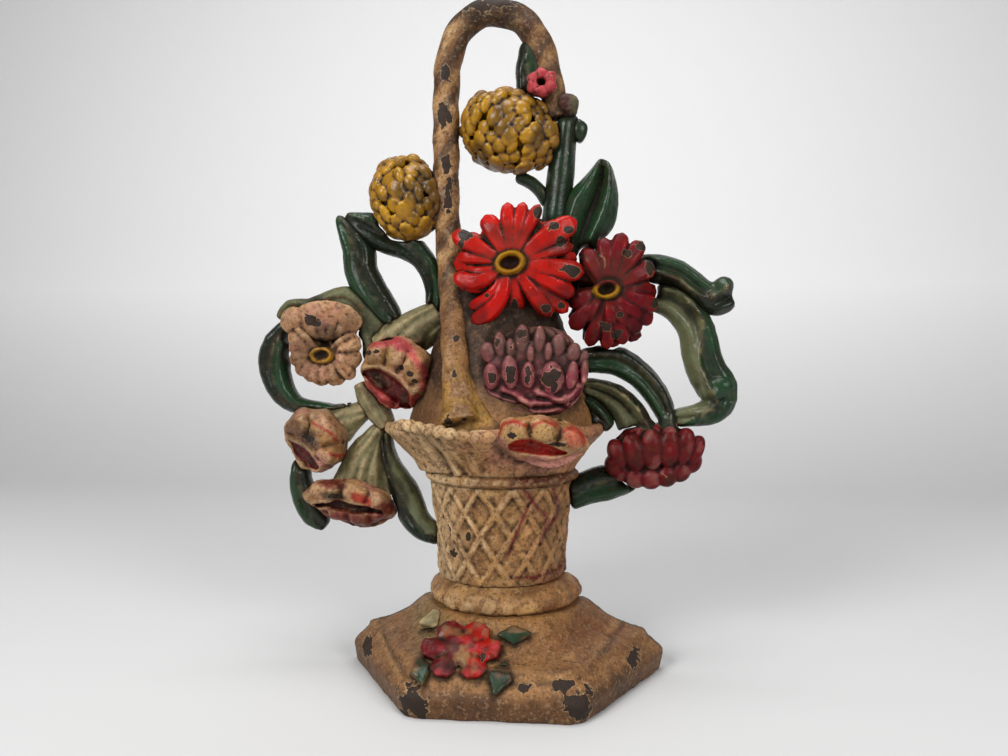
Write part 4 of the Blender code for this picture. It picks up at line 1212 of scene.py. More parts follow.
@dataclass
class Foot(Casting):
    """Half-hexagonal foot with its pedestal ring."""

    voxel: float = 0.75
    edge_top: float = 12.5
    joined: float = 0.88
    braid: Row = tuple(range(-30, 28, 7))
    border: Sequence[Line] = (
        [(0, 13.6), (12, 14.4), (26, 15.4)], [(-6, 11.2), (10, 11.6), (27, 13), (44, 17)],
        [(-30, 11.2), (-40, 13.4), (-52, 17.6)],
    )

    def build(self) -> None:
        """Make the foot and the ring."""
        self.base()
        self.ring()

    def base(self) -> None:
        """Foot: brown border rubbed to iron at its front corners, tan hill, and painted shadow and highlight
        along its steps.
        """
        skin = Skin([self.core("foot")], self.voxel).soften(3).roughen(3, 1.5)
        coat = Coat(skin, Hue.CLAY)
        cloud = skin.grain(12, 5) * 0.5 + skin.grain(4, 6) * 0.5
        coat.wash(Hue.BROWN, step(cloud, -0.1, 0.7) * 0.7)
        coat.wash(Hue.TAN, step(skin.z + cloud * 5, 17, 27) * 0.8)
        coat.patch(Hue.TAN, 0.5, 8, 12, 22, 4, 0.4, 0.5)
        side = step(-skin.z + cloud * 1.5, -self.edge_top + 2, -self.edge_top + 5.5)
        coat.wash(Hue.BROWN, side * 0.85)
        coat.wash(Hue.SOOT_AND_SHADE, side * step(cloud, -0.3, 0.5) * 0.45)
        # Painted shadow along each step of the foot, and a painted highlight beside it.
        for line in self.border:
            far, _, rise = skin.along(line)
            coat.wash(Hue.SOOT_AND_SHADE, np.exp(-(far / 0.7) ** 2) * step(cloud, -0.8, 0.2) * 0.8)
            lit = np.exp(-((rise - 1.5) / 0.8) ** 2) * (far < 3)
            coat.wash(Hue.CREAM, lit * step(cloud, -0.6, 0.2) * 0.5)
        coat.patch(Hue.OX_RED, 0.35, 34, 22, 16, 7, 0.5, 0.6)
        coat.patch(Hue.SAGE, 0.4, -26, 22, 9, 5, 0.5, 0.5)
        back = step(-skin.y, -3, -1) + (skin.normals()[:, 1] < -0.3)
        coat.wash(Hue.IRON, back)
        spots = [Spot(-26.5, 5, 4.6, 5), Spot(27, 6, 4.6, 4.6), Spot(23, 11.5, 3, 1.4),
                 Spot(10, 10.8, 2.4, 1), Spot(-51, 9, 2.4, 3), Spot(47, 10, 2.4, 2.2)]
        self.cast("foot", Finish.CREAM, coat, spots, step(skin.z, 20, 24) * self.joined)

    def ring(self) -> None:
        """Cushion ring between the hill and the basket."""
        skin = Skin([self.core("pedestal_ring")], 0.55).soften(5).swell(0.2)
        for x in self.braid:
            skin.ridge([(x, 26), (x + 5, 35)], 1, -0.45)
        skin.roughen(8, 1.8)
        coat = Coat(skin, Hue.TAN)
        cloud = skin.grain(6, 7)
        # Painted highlight on the crests of the ring's left side.
        coat.wash(Hue.BONE, skin.crests(2, 0.3) * step(-skin.x, -16, 10) * 0.6)
        coat.wash(Hue.BROWN, step(cloud, 0, 0.8) * 0.6)
        coat.wash(Hue.CREAM, step(-cloud, 0.1, 0.7) * 0.6)
        coat.wash(Hue.CRIMSON, step(skin.x + cloud * 6, 12, 28) * 0.4)
        self.cast("pedestal_ring", Finish.CREAM, coat, clean_and_unshaded=self.joined)


@dataclass
class Basket(Casting):
    """Lattice basket: body with crossing laths, braid band and flared rim."""

    middle: float = -1.5
    floor: float = 35.5
    height: float = 35.6
    low_radius: float = 24.1
    high_radius: float = 27.2
    wall: float = 3.8
    sunk: float = 0.35
    joined: float = 0.35
    braid: Row = tuple(range(-27, 25, 4))
    lip: Line = (
        (-34.6, 94.6), (-31, 94.8), (-27.2, 94.4), (-23.2, 94), (-19.2, 93.4), (-15.6, 92.8), (-10.8, 92.4),
        (-6.4, 91.8), (-2.4, 92),
    )
    lath_half: float = 1.25
    fluting: Sequence[tuple[float, Line]] = (
        (-1.5, [(-37.2, 95), (-30.9, 87.8), (-24.9, 78.6)]), (-1.5, [(-29, 94), (-21.8, 84.8), (-17.6, 76)]),
        (-1.1, [(-23.6, 92.2), (-16.2, 82.8), (-12.6, 76)]), (-0.9, [(-16.8, 88.6), (-10.6, 78.4)]),
        (1, [(-34.4, 95), (-27, 86.4), (-21.4, 77.4)]), (1, [(-27, 93.6), (-19.4, 84), (-15.4, 76)]),
        (0.7, [(-20.8, 91.4), (-13.6, 81)]), (-0.7, [(-9.6, 88), (-5.6, 78)]),
    )
    red_runs: Sequence[Line] = (
        [(10.7, 66), (6.5, 57), (2.9, 47.4)], [(8.6, 70.6), (13, 64), (16.3, 58.9), (13.8, 50.4)],
        [(22, 40), (12, 38.6), (4, 39.4)], [(18.6, 70), (20.4, 62), (17, 55)],
    )
    band_run: Line = ((-7.6, 76.5), (-0.8, 75.9), (4.6, 76), (11.3, 73.7), (21.3, 74.2))
    lath_count: int = 9
    lath_sweep: float = radians(51)
    lath_spacing: float = radians(25.7)

    def build(self) -> None:
        """Make the three parts of the basket."""
        self.body()
        self.band()
        self.rim()

    def body(self) -> None:
        """Body: the plain shell with laths laid over it both ways."""
        solids = [self.shell()]
        for sign in (1, -1):
            values = {
                "Count": self.lath_count + 2, "Low radius": self.low_radius - self.sunk,
                "High radius": self.high_radius - self.sunk, "Height": self.height - 1.6,
                "Sweep": sign * self.lath_sweep, "Spacing": self.lath_spacing,
                "First angle": -self.lath_sweep if sign > 0 else 0.0, "Width": self.lath_half,
                "Paint": Finish.CREAM.value.material(),
            }
            weave = self.laths.run(values)
            weave.points = weave.points + np.array([self.middle, 0, self.floor + 0.8])
            keep = weave.points[:, 1] > -6
            weave.points[:, 1] = np.where(keep, np.maximum(weave.points[:, 1], 0.2), 0.2)
            solids.append(weave)
        skin = Skin(solids, 0.5).soften(4).roughen(12, 1.7)
        coat = self.old_cream(skin, 20)
        ragged = 0.8 + 0.5 * skin.grain(2, 28)
        for line in self.red_runs:
            coat.wash(Hue.CRIMSON, skin.near(line, ragged) * 0.95)
        spots = [Spot(-17.7, 46.2, 1.5, 1.8), Spot(-11.6, 53.4, 1, 1.8)]
        coat.patch(Hue.CRIMSON, 0.45, 24, 37, 10, 4, 0.5, 0.5)
        ends = step(np.abs(skin.z - self.floor - self.height / 2), self.height / 2 - 3, self.height / 2)
        self.cast("basket_body", Finish.CREAM, coat, spots, ends * self.joined)

    def shell(self) -> Solid:
        """Plain half-round wall of the body, open behind.

        Returns:
            The wall.
        """
        rows, stations = 16, 40
        up = [i / rows for i in range(rows + 1)]
        edge = [(share, 0) for share in up] + [(share, self.wall) for share in reversed(up)]
        rings = []
        for j in range(stations + 1):
            angle = pi * j / stations
            ring = []
            for share, inset in edge:
                radius = self.low_radius + (self.high_radius - self.low_radius) * share ** 2 - inset
                height = self.floor + self.height * share
                ring.append((self.middle + radius * cos(angle), radius * sin(angle), height))
            rings.append(ring)
        return loft(rings)

    def old_cream(self, skin: Skin, seed: int) -> Coat:
        """Cream paint gone tan, with red runs on its right side, painted shade in the hollows and painted
        light on its left side.

        Args:
            skin: The skin.
            seed: Picks one pattern.

        Returns:
            The coat.
        """
        coat = Coat(skin, Hue.TAN)
        cloud = skin.grain(9, seed) * 0.6 + skin.grain(3, seed + 1) * 0.5
        coat.wash(Hue.CREAM, step(cloud, 0, 0.6) * 0.7)
        coat.wash(Hue.BROWN, step(-cloud, 0.1, 0.7) * 0.6)
        # Painted shade in the hollows.
        coat.wash(Hue.BROWN, skin.hollows(2.6, 0.45) * 0.6)
        # Painted light on the left side: highlights on its crests and a paler wash over the whole side.
        wear_and_highlight = skin.crests(2, 0.3) * step(-cloud, -0.4, 0.4)
        coat.wash(Hue.BONE, wear_and_highlight * step(-skin.x, -26, 6) * 0.75)
        coat.wash(Hue.BONE, step(-skin.x, 8, 24) * 0.55)
        right = step(skin.x, 0, 18)
        coat.wash(Hue.CLAY, right * 0.2)
        coat.wash(Hue.PINK, right * step(cloud, -0.2, 0.8) * 0.25)
        return coat

    def band(self) -> None:
        """Braid round the top of the body."""
        skin = Skin([self.core("basket_band")], 0.4).soften(2).swell(0.4)
        for x in self.braid:
            skin.ridge([(x, 73), (x + 2.2, 77.6)], 0.8, -0.6)
        skin.roughen(14, 1.8)
        coat = self.old_cream(skin, 30)
        coat.wash(Hue.OX_RED, step(skin.x + skin.grain(4, 9) * 8, -8, 6) * 0.7)
        coat.wash(Hue.BROWN, step(skin.x, -16, -6) * 0.4)
        ragged = 0.7 + 0.4 * skin.grain(2, 29)
        coat.wash(Hue.OX_RED, skin.near(self.band_run, ragged) * 0.9)
        self.cast("basket_band", Finish.CREAM, coat, clean_and_unshaded=self.joined)

    def rim(self) -> None:
        """Flare with swept ribs and its lip."""
        flare = self.core("basket_rim")
        top = flare.points[flare.points[:, 2] > 90]
        radius = float(np.hypot(top[:, 0] - self.middle, top[:, 1]).max())
        solids = [flare]
        for x, z in self.lip:
            depth = sqrt(max(radius ** 2 - (x - self.middle) ** 2, 0))
            solids.append(bead((x, depth - 1.6, z - 1.4), (2.3, 2.2, 1.9), 0, 2))
        skin = Skin(solids, 0.5).soften(4).swell(0.3)
        for rise, line in self.fluting:
            skin.ridge(line, 1.3, rise)
        skin.roughen(16, 2)
        coat = self.old_cream(skin, 40)
        coat.wash(Hue.BROWN, step(-skin.x, -2, 34) * 0.15)
        coat.patch(Hue.CRIMSON, 0.3, 6, 81, 9, 5, 0.6, 0.6)
        coat.patch(Hue.PINK_PRIMER, 0.45, 14.6, 86, 20, 11, 0.4, 0.5)
        clean_and_unshaded = np.maximum(self.joined, step(skin.z, 88, 91) * 0.95)
        self.cast("basket_rim", Finish.CREAM, coat, clean_and_unshaded=clean_and_unshaded)


@dataclass
class Handle(Casting):
    """Tall rope handle over the bouquet."""

    rim: float = 92.5
    top: float = 248.7
    half: float = 5.1
    deep: float = 4.8
    foot_half: float = 7.0
    strands: float = 3.0
    pitch: float = 42.0
    strand_rise: float = 0.05
    mound_radius: float = 35.6
    mound_top_radius: float = 14.0
    mound_height: float = 66.0
    basket_x: float = -1.5
    twist: float = 16.0
    joined: float = 0.35
    root: Sequence[Row] = (
        (-2, -6.4, 11.6, 3), (0.6, -7, 10.5, 2.9), (5, -9, 8.2, 3), (11, -11.5, 6.2, 3.4),
        (18, -13.6, 5, 3.6), (27, -15.4, 4.2, 3),
    )
    patches: Sequence[Spot] = (
        Spot(-22, 224, 1.9, 3.4), Spot(-22.5, 208.5, 2.2, 4.6), Spot(-21.5, 190, 1.5, 4),
        Spot(-21, 178, 1.4, 6), Spot(-9, 249.5, 7, 2.6), Spot(-1, 250.5, 6, 2.4),
        Spot(-15.2, 124, 1, 1.5), Spot(-15, 111, 1, 2), Spot(-16.2, 95.8, 1.4, 2.2),
        Spot(-10.6, 95.8, 1.1, 1.2), Spot(-16, 142, 1, 2),
    )

    def mound_depth(self, x: float, z: float) -> float:
        """How far out the mound reaches at a place.

        Args:
            x: Across.
            z: Height over the rim.

        Returns:
            The depth.
        """
        share = min(z / self.mound_height, 1)
        radius = self.mound_radius + (self.mound_top_radius - self.mound_radius) * share
        return sqrt(max(radius ** 2 - (x - self.basket_x) ** 2, 0))

    def line(self) -> list[Row]:
        """Middle line of the rope.

        Returns:
            Places on it: across, depth, height and half width.
        """
        half, deep = self.half, self.deep
        leg = [(-12.4, 2, self.foot_half), (-13.8, 9, half + 0.6), (-15.2, 19, half - 0.2),
               (-17.2, 34, half - 0.4), (-19.4, 48, half - 0.3), (-21.4, 66, half - 0.1)]
        path = []
        for x, z, width in leg:
            path.append((x, max(deep, self.mound_depth(x, z) + deep * 0.45), self.rim + z, width))
        top = self.top
        path += [
            (-22.5, deep, self.rim + 84, half), (-22.5, deep, top - 44, half), (-22.4, deep, top - 27, half),
            (-20.6, deep, top - 14, half), (-15.6, deep, top - 4.6, half), (-8.4, deep, top - 0.4, half),
            (-0.4, deep, top - 0.4, half), (7.2, deep, top - 4.2, half), (12.6, deep, top - 11.6, half),
            (16.2, deep, top - 21.6, half - 0.2), (18.6, deep, top - 34, half - 0.4),
            (19.6, deep, top - 41, half - 0.6),
        ]
        return path

    def flare(self) -> Solid:
        """Spread root of the leg, which runs out over the basket's filling.

        Returns:
            The root.
        """
        sides, sunk = 20, 1.5
        rings = []
        for z, x, half, proud in self.root:
            depth = self.mound_depth(x, z) - sunk
            turns = [2 * pi * k / sides for k in range(sides)]
            rings.append([(x + half * cos(a), depth + (proud + sunk) * sin(a), self.rim + z) for a in turns])
        return loft(rings)

    def build(self) -> None:
        """Make the handle."""
        line = bpy.data.meshes.new("handle line")
        run = smooth_run(self.line(), 10)
        line.from_pydata([p[:3] for p in run], [(i, i + 1) for i in range(len(run) - 1)], [])
        line.attributes.new("half", "FLOAT", "POINT").data.foreach_set("value", [p[3] for p in run])
        values = {"Strands": self.strands, "Pitch": self.pitch, "Strand rise": self.strand_rise,
                  "Paint": Finish.CREAM.value.material()}
        twisted = self.rope.run(values, line)
        twisted.points[:, 1] = np.maximum(twisted.points[:, 1], 0)
        skin = Skin([twisted, self.flare()], 0.5).soften(8).roughen(22, 0.9)
        coat = Coat(skin, Hue.CLAY)
        cloud = skin.grain(7, 51) * 0.6 + skin.grain(2.4, 52) * 0.5
        coat.wash(Hue.BROWN, step(cloud, -0.1, 0.6) * 0.75)
        coat.wash(Hue.CREAM, step(-cloud, 0.2, 0.7) * 0.6)
        coat.wash(Hue.BROWN, step(-np.abs(skin.z - 238), -34, -12) * 0.45)
        twist = np.sin(2 * pi * (skin.z - 1.5 * skin.x) / self.twist + cloud * 0.9)
        coat.wash(Hue.SOOT_AND_SHADE, step(twist, 0.2, 0.7) * step(skin.z, 120, 150) * 0.8)
        coat.wash(Hue.CREAM, step(-twist, 0.4, 0.9) * step(skin.z, 120, 150) * 0.4)
        coat.wash(Hue.GOLD, step(-skin.z, -128, -100) * step(cloud, -0.4, 0.3) * 0.22)
        coat.wash(Hue.BROWN, step(-skin.z, -116, -98) * step(-cloud, -0.1, 0.4) * 0.5)
        # Painted highlight on the rubbed crests of the rope.
        coat.wash(Hue.BONE, skin.crests(2, 0.3) * step(-cloud, 0, 0.6) * 0.6)
        coat.patch(Hue.SOOT_AND_SHADE, 0.9, -2, 248, 20, 8, 0.5, 0.5)
        coat.wash(Hue.BROWN, step(skin.x, 4, 12) * 0.35)
        self.cast("handle", Finish.CREAM, coat, self.patches, self.joined)


def smooth_run(points: Sequence[Row], steps: int) -> list[Row]:
    """Run a smooth curve through places.

    Args:
        points: Places, each with any further values that are to be blended.
        steps: Steps between two places.

    Returns:
        The places on the curve.
    """
    run: list[Row] = []
    rows = [np.array(p, dtype=float) for p in points]
    for i in range(len(rows) - 1):
        before = rows[i - 1] if i else 2 * rows[0] - rows[1]
        after = rows[i + 2] if i + 2 < len(rows) else 2 * rows[-1] - rows[-2]
        first, second = rows[i], rows[i + 1]
        for k in range(steps):
            t = k / steps
            run.append(tuple(0.5 * (2 * first + (second - before) * t
                                    + (2 * before - 5 * first + 4 * second - after) * t * t
                                    + (3 * first - before - 3 * second + after) * t ** 3)))
    run.append(tuple(rows[-1]))
    return run


@dataclass
class PetalPlan:
    """One petal of a zinnia.

    Attributes:
        x: How far its end lies across from the flower's eye.
        z: How far its end lies up from it.
        width: Its widest.
        bow: How far it bends to its left, seen from its root.
        front: How far its tip lies behind the eye.
    """

    x: float
    z: float
    width: float
    bow: float = 0.0
    front: float = 6.0


@dataclass
class Zinnia(Casting):
    """Zinnia: long petals round a raised ring with a hollow eye."""

    node: str
    finish: Finish
    eye: Flat
    petals: list[PetalPlan]
    colours: tuple[Hue, Hue, Hue]
    ring: Point = (6.0, 4.5, 14.0)
    spots: Sequence[Spot] = ()
    nod: float = 8.0
    turn: float = 4.0
    groove: float = 0.3
    shade: float = -1.0
    # Colour of the painted highlight laid patchily on the petals' crests.
    wear_and_highlight: Hue = Hue.SCARLET

    def build(self) -> None:
        """Make the flower."""
        front = self.front(self.node)
        x, z = self.eye
        solids = [self.core(self.node, 0.93, 0.58)]
        tan_z, tan_x = tan(radians(self.nod)), tan(radians(self.turn))
        for plan in self.petals:
            dx, dz = plan.x, plan.z
            far = hypot(dx, dz)
            root = (x + dx / far * 3.5, front - 5, z + dz / far * 3)
            level = front - plan.front + dz * tan_z - dx * tan_x
            tip = (x + dx, level, z + dz)
            solids.append(petal(root, tip, plan.width * 0.93, 2.9, plan.bow, 2.2, self.groove))
            under = (x + dx * 0.86, level - 4.6, z + dz * 0.86)
            solids.append(petal(root, under, plan.width * 1.3, 2.4, plan.bow, 1, 0))
        wide, high, roll = self.ring

        def dome(rho: float, angle: float) -> float:
            """Raised ring round a hollow eye."""
            ridge = exp(-(((rho - 0.72) / 0.22) ** 2))
            return 2.4 * ridge - 1.6 * exp(-((rho / 0.45) ** 2)) - 3 * max(0, rho - 0.85) / 0.15

        middle = (x, front - 2.4, z)
        solids.append(relief_disc(middle, (wide, high), lambda angle: 1, dome, front - 9, roll=roll))
        skin = Skin(solids, 0.4).soften(2).roughen(sum(map(ord, self.node)) % 50, 0.9)
        main, dark, eye_colour = self.colours
        coat = Coat(skin, main)
        hollow = skin.hollows(1.6, 0.3)
        # Painted shade in the hollows between and under the petals.
        coat.wash(dark, np.maximum(hollow, skin.hollows(3.4, 0.7)))
        coat.stain(dark, 0.65, 7, 61, 0, 0.6)
        coat.wash(dark, step(-skin.grain(2.6, 62), 0.1, 0.7) * 0.35)
        # Painted highlight on the petals' crests, patchy like rubbed paint.
        wear_and_highlight = skin.crests(1.8, 0.35)
        coat.wash(self.wear_and_highlight, wear_and_highlight * step(skin.grain(4, 63), -0.3, 0.4) * 0.6)
        coat.wash(Hue.DUST, coat.oval(x - 1.5, z + 5, 11, 8, 0.3, 0.5) * (0.12 + 0.6 * hollow))
        lit = step(z + self.shade * high - skin.z, -1.4, 0.2) if self.shade > -1 else 1
        coat.wash(Hue.OCHRE, coat.oval(x, z, wide * 0.98, high * 0.98, 0.06, 0.08, roll) * lit)
        coat.wash(eye_colour, coat.oval(x, z, wide * 0.56, high * 0.52, 0.1, 0.12, roll))
        behind = step(-skin.normals()[:, 1], 0.1, 0.6)
        coat.wash(Hue.SOOT_AND_SHADE, behind * 0.8)
        self.cast(self.node, self.finish, coat, self.spots)


@dataclass
class Mum(Casting):
    """Incurved mum whose petals lie over each other like scales."""

    node: str
    centre: Flat
    radii: Point
    count: int
    roll: float
    seed: int
    petal: Point = (6.6, 5.8, 3.4)

    def build(self) -> None:
        """Make the flower."""
        length, width, thick = self.petal
        wide, deep, high = self.radii
        values = {"Count": self.count, "Half width": wide - 1.3, "Half depth": deep - 1.3,
                  "Half height": high - 1.3, "Length": length, "Width": width, "Thickness": thick,
                  "Stray": 0.9, "Seed": self.seed, "Paint": Finish.OCHRE.value.material()}
        laid = self.scales.run(values)
        laid.points = laid.points @ np.array(Matrix.Rotation(radians(self.roll), 3, "Y")).T
        back = 6
        laid.points = laid.points + np.array([self.centre[0], back, self.centre[1]])
        laid.points[:, 1] = np.maximum(laid.points[:, 1], 0.3)
        core = self.core(self.node, 0.93, 0.88)
        skin = Skin([core, laid], 0.38).soften(1).roughen(self.seed, 0.6)
        hollow = skin.hollows(1.2, 0.3)
        crest = skin.crests(1.2, 0.3)
        coat = Coat(skin, Hue.OCHRE)
        # Painted highlight on the scales' crests and painted shade in the gaps between them.
        coat.wash(Hue.GOLD, crest * 0.8)
        coat.wash(Hue.UMBER, hollow)
        coat.stain(Hue.UMBER, 0.7, 7, self.seed, -0.1, 0.6)
        coat.stain(Hue.UMBER, 0.5, 2.4, self.seed + 3, 0.1, 0.6)
        edge = oval_share(skin.points, *self.centre, wide, high)
        coat.wash(Hue.CLAY, step(edge, 0.8, 1.1) * 0.55)
        self.cast(self.node, Finish.OCHRE, coat)


@dataclass
class PlumMum(Casting):
    """Plum mum: a cup of upright petals over a swept skirt, on the front of the mound."""

    node: str = "purple_mum"
    middle: Flat = (11.6, 110.0)
    half: Flat = (18.4, 14.6)
    proudest: float = 35.4
    inner: Sequence[Row] = (
        (-3.6, 118.8, 2.6, 3.8, 16), (0.6, 121, 2.2, 5.2, 8), (4.3, 119.6, 1.8, 4.2, 4),
        (8.1, 122.8, 2.7, 6, 0), (14.1, 122.6, 2.1, 5.6, -3), (20.5, 121, 2.7, 4.6, -12),
        (25.6, 118.4, 2.6, 4.2, -20), (29, 116.6, 1.8, 3.4, -25), (17.2, 118.8, 1.6, 3.6, -4),
        (11.1, 118, 1.5, 3.6, 0),
    )
    outer: Sequence[Row] = (
        (-2.4, 110.4, 2.8, 4.8, 6), (4.2, 112.2, 3, 6.2, 4), (10.4, 111.2, 2.6, 4.8, 0),
        (18.4, 110.2, 4.2, 6, 0), (25.2, 111.2, 2.3, 5.2, -8), (29.6, 112.4, 1.6, 4.6, -4),
    )
    folds: Sequence[Line] = (
        [(-6.5, 108), (-2, 104.5), (6, 102.4), (15, 101.6), (25, 103.8), (29.5, 109)],
        [(-5, 104), (1, 100.8), (10, 98.9), (20, 98.8), (28, 102)],
        [(2, 106), (7, 104), (11, 100.4)], [(14, 105), (19, 103.6), (25, 100.4)],
    )
    spots: Sequence[Spot] = (
        Spot(4.3, 111.6, 1.7, 3.6), Spot(10.4, 110.6, 1.3, 2.9), Spot(18.6, 109.4, 2.9, 3.9),
        Spot(-2, 110, 1.2, 2), Spot(-0.2, 122.4, 1, 1.8), Spot(8, 125.6, 1.4, 1.4),
    )

    def level(self, x: float, z: float) -> float:
        """Depth of the cup's face, which follows the mound round to the right.

        Args:
            x: Across.
            z: Height.

        Returns:
            The depth there.
        """
        across = (x - self.middle[0] + 5) / self.half[0]
        up = (z - self.middle[1]) / self.half[1]
        return self.proudest - 2.9 - 3.4 * across ** 2 - 2.6 * max(up, 0) ** 2 - 1.6 * min(up, 0) ** 2

    def build(self) -> None:
        """Make the flower."""
        x, z = self.middle

        def face(rho: float, angle: float) -> float:
            """Rise of the cup over its own base."""
            across, up = self.half[0] * rho * cos(angle), self.half[1] * rho * sin(angle)
            return self.level(x + across, z + up) - self.proudest - 3 * max(0, rho - 0.86) / 0.14

        solids = [relief_disc((x, self.proudest, z), self.half, lambda angle: 1, face, self.proudest - 16),
                  self.core(self.node, 0.86, 0.8)]
        for rows, proud in ((self.inner, 1.5), (self.outer, 2.6)):
            for px, pz, wide, high, roll in rows:
                solids.append(bead((px, self.level(px, pz) - 0.6, pz), (wide, proud + 0.6, high), roll))
        skin = Skin(solids, 0.38).soften(2)
        for fold in self.folds:
            skin.ridge(fold, 1.2, 1.3)
            skin.ridge([(px, pz - 1.9) for px, pz in fold], 0.8, -0.9)
        skin.roughen(33, 1.2)
        crest = skin.crests(1.2, 0.3)
        coat = Coat(skin, Hue.PLUM)
        coat.wash(Hue.VIOLET, step(skin.z + skin.grain(5, 3) * 3, z - 1, z + 11) * 0.85)
        coat.wash(Hue.DUST, step(skin.z + skin.grain(4, 8) * 3, z + 2, z + 12) * 0.35)
        # Painted shade in the hollows.
        coat.wash(Hue.WINE, skin.hollows(1.4, 0.35) * 0.9)
        coat.stain(Hue.SOOT_AND_SHADE, 0.5, 3.4, 5, 0.1, 0.6)
        # Painted highlight in lilac on the crests, patchy.
        coat.wash(Hue.LILAC, crest * step(skin.grain(3, 4), -0.6, 0.3) * 0.9)
        coat.wash(Hue.PINK_PRIMER, step(skin.grain(1.6, 6), 0.25, 0.6) * step(-skin.z, -118, -108) * 0.5)
        # Painted highlight in pink on the crests of the middle rows.
        coat.wash(Hue.PINK_PRIMER, crest * step(-skin.z, -120, -114) * 0.5)
        self.cast(self.node, Finish.PLUM, coat, self.spots)


@dataclass
class Trumpet(Casting):
    """Trumpet flower: a lobed lip rolled round a deep mouth.

    Attributes:
        bumps: Lobes of the lip: middle, half width, half height, turn and rise of each.
        mouth: Middle line of the mouth, with its half height at each place.
        lines: Painted lines along the lobes' edges.
        folds: Grooves between the lobes.
        patches: Painted places: middle, half width, half height, turn and colour.
    """

    node: str
    centre: Flat
    radii: Flat
    roll: float
    bumps: Sequence[Row]
    mouth: Sequence[Point]
    base: Hue
    inside: Hue
    lines: Sequence[Line] = ()
    folds: Sequence[Line] = ()
    patches: Sequence[tuple] = ()
    spots: Sequence[Spot] = ()
    line_colour: Hue = Hue.RED
    line_half: float = 0.7
    rough: float = 3.4
    # Share of painted shade deep in the mouth.
    gloom: float = 0.95
    depth: float = 4.6
    level: float = -3.0
    nod: float = 0.0
    turn: float = 0.0
    back: float = 1.0

    def build(self) -> None:
        """Make the flower."""
        front = self.front(self.node)
        seed = sum(map(ord, self.node)) % 60

        def outline(angle: float) -> float:
            """Uneven edge."""
            return 0.95 + 0.045 * sin(3 * angle + seed) + 0.045 * sin(7 * angle + 2 * seed)

        def height(rho: float, angle: float) -> float:
            """Low crown with a rounded edge."""
            return 1.6 * (1 - rho ** 3) - 4.5 * max(0, rho - 0.84) / 0.16

        x, z = self.centre
        disc = relief_disc((x, front + self.level, z), self.radii, outline, height, self.back, self.roll,
                           self.nod, self.turn)
        skin = Skin([self.core(self.node, 0.94, 0.6), disc], 0.4).soften(2)
        skin.lobes(self.bumps)
        skin.points = skin.relax(3)
        for fold in self.folds:
            skin.ridge(fold, 1.2, -1.5)
        inside = skin.mouth([spot[:2] for spot in self.mouth], [spot[2] for spot in self.mouth], self.depth)
        skin.soften(2).roughen(seed, self.rough)
        coat = Coat(skin, self.base)
        cloud = skin.grain(6, seed) * 0.6 + skin.grain(2.2, seed + 1) * 0.4
        coat.stain(Hue.PINK_PRIMER, 0.5, 4, seed + 2, -0.3, 0.6)
        coat.wash(Hue.BROWN, step(cloud, 0, 0.7) * 0.7)
        coat.wash(Hue.CREAM, step(-cloud, 0.15, 0.6) * 0.35)
        # Painted highlight on the crests and painted shade in the hollows.
        coat.wash(Hue.BONE, skin.crests(1.8, 0.35) * 0.4)
        coat.wash(Hue.BROWN, skin.hollows(1.6, 0.4) * 0.8)
        for px, pz, wide, high, roll, colour in self.patches:
            coat.wash(colour, coat.oval(px, pz, wide, high, 0.35, 0.35, roll) * 0.85)
        for line in self.lines:
            coat.wash(self.line_colour, skin.near(line, self.line_half * (1 + 0.5 * cloud)) * 0.9)
        coat.wash(self.inside, step(inside + cloud * 0.15, 0.25, 0.6))
        # Painted shade deep in the mouth.
        coat.wash(Hue.GRIME_AND_SHADE, step(inside + cloud * 0.35, 0.75, 1.1) * self.gloom)
        coat.wash(Hue.SAGE, step(-skin.normals()[:, 1], 0.05, 0.5) * 0.8)
        self.cast(self.node, Finish.PINK, coat, self.spots, np.clip(0.5 + inside, 0, 1))


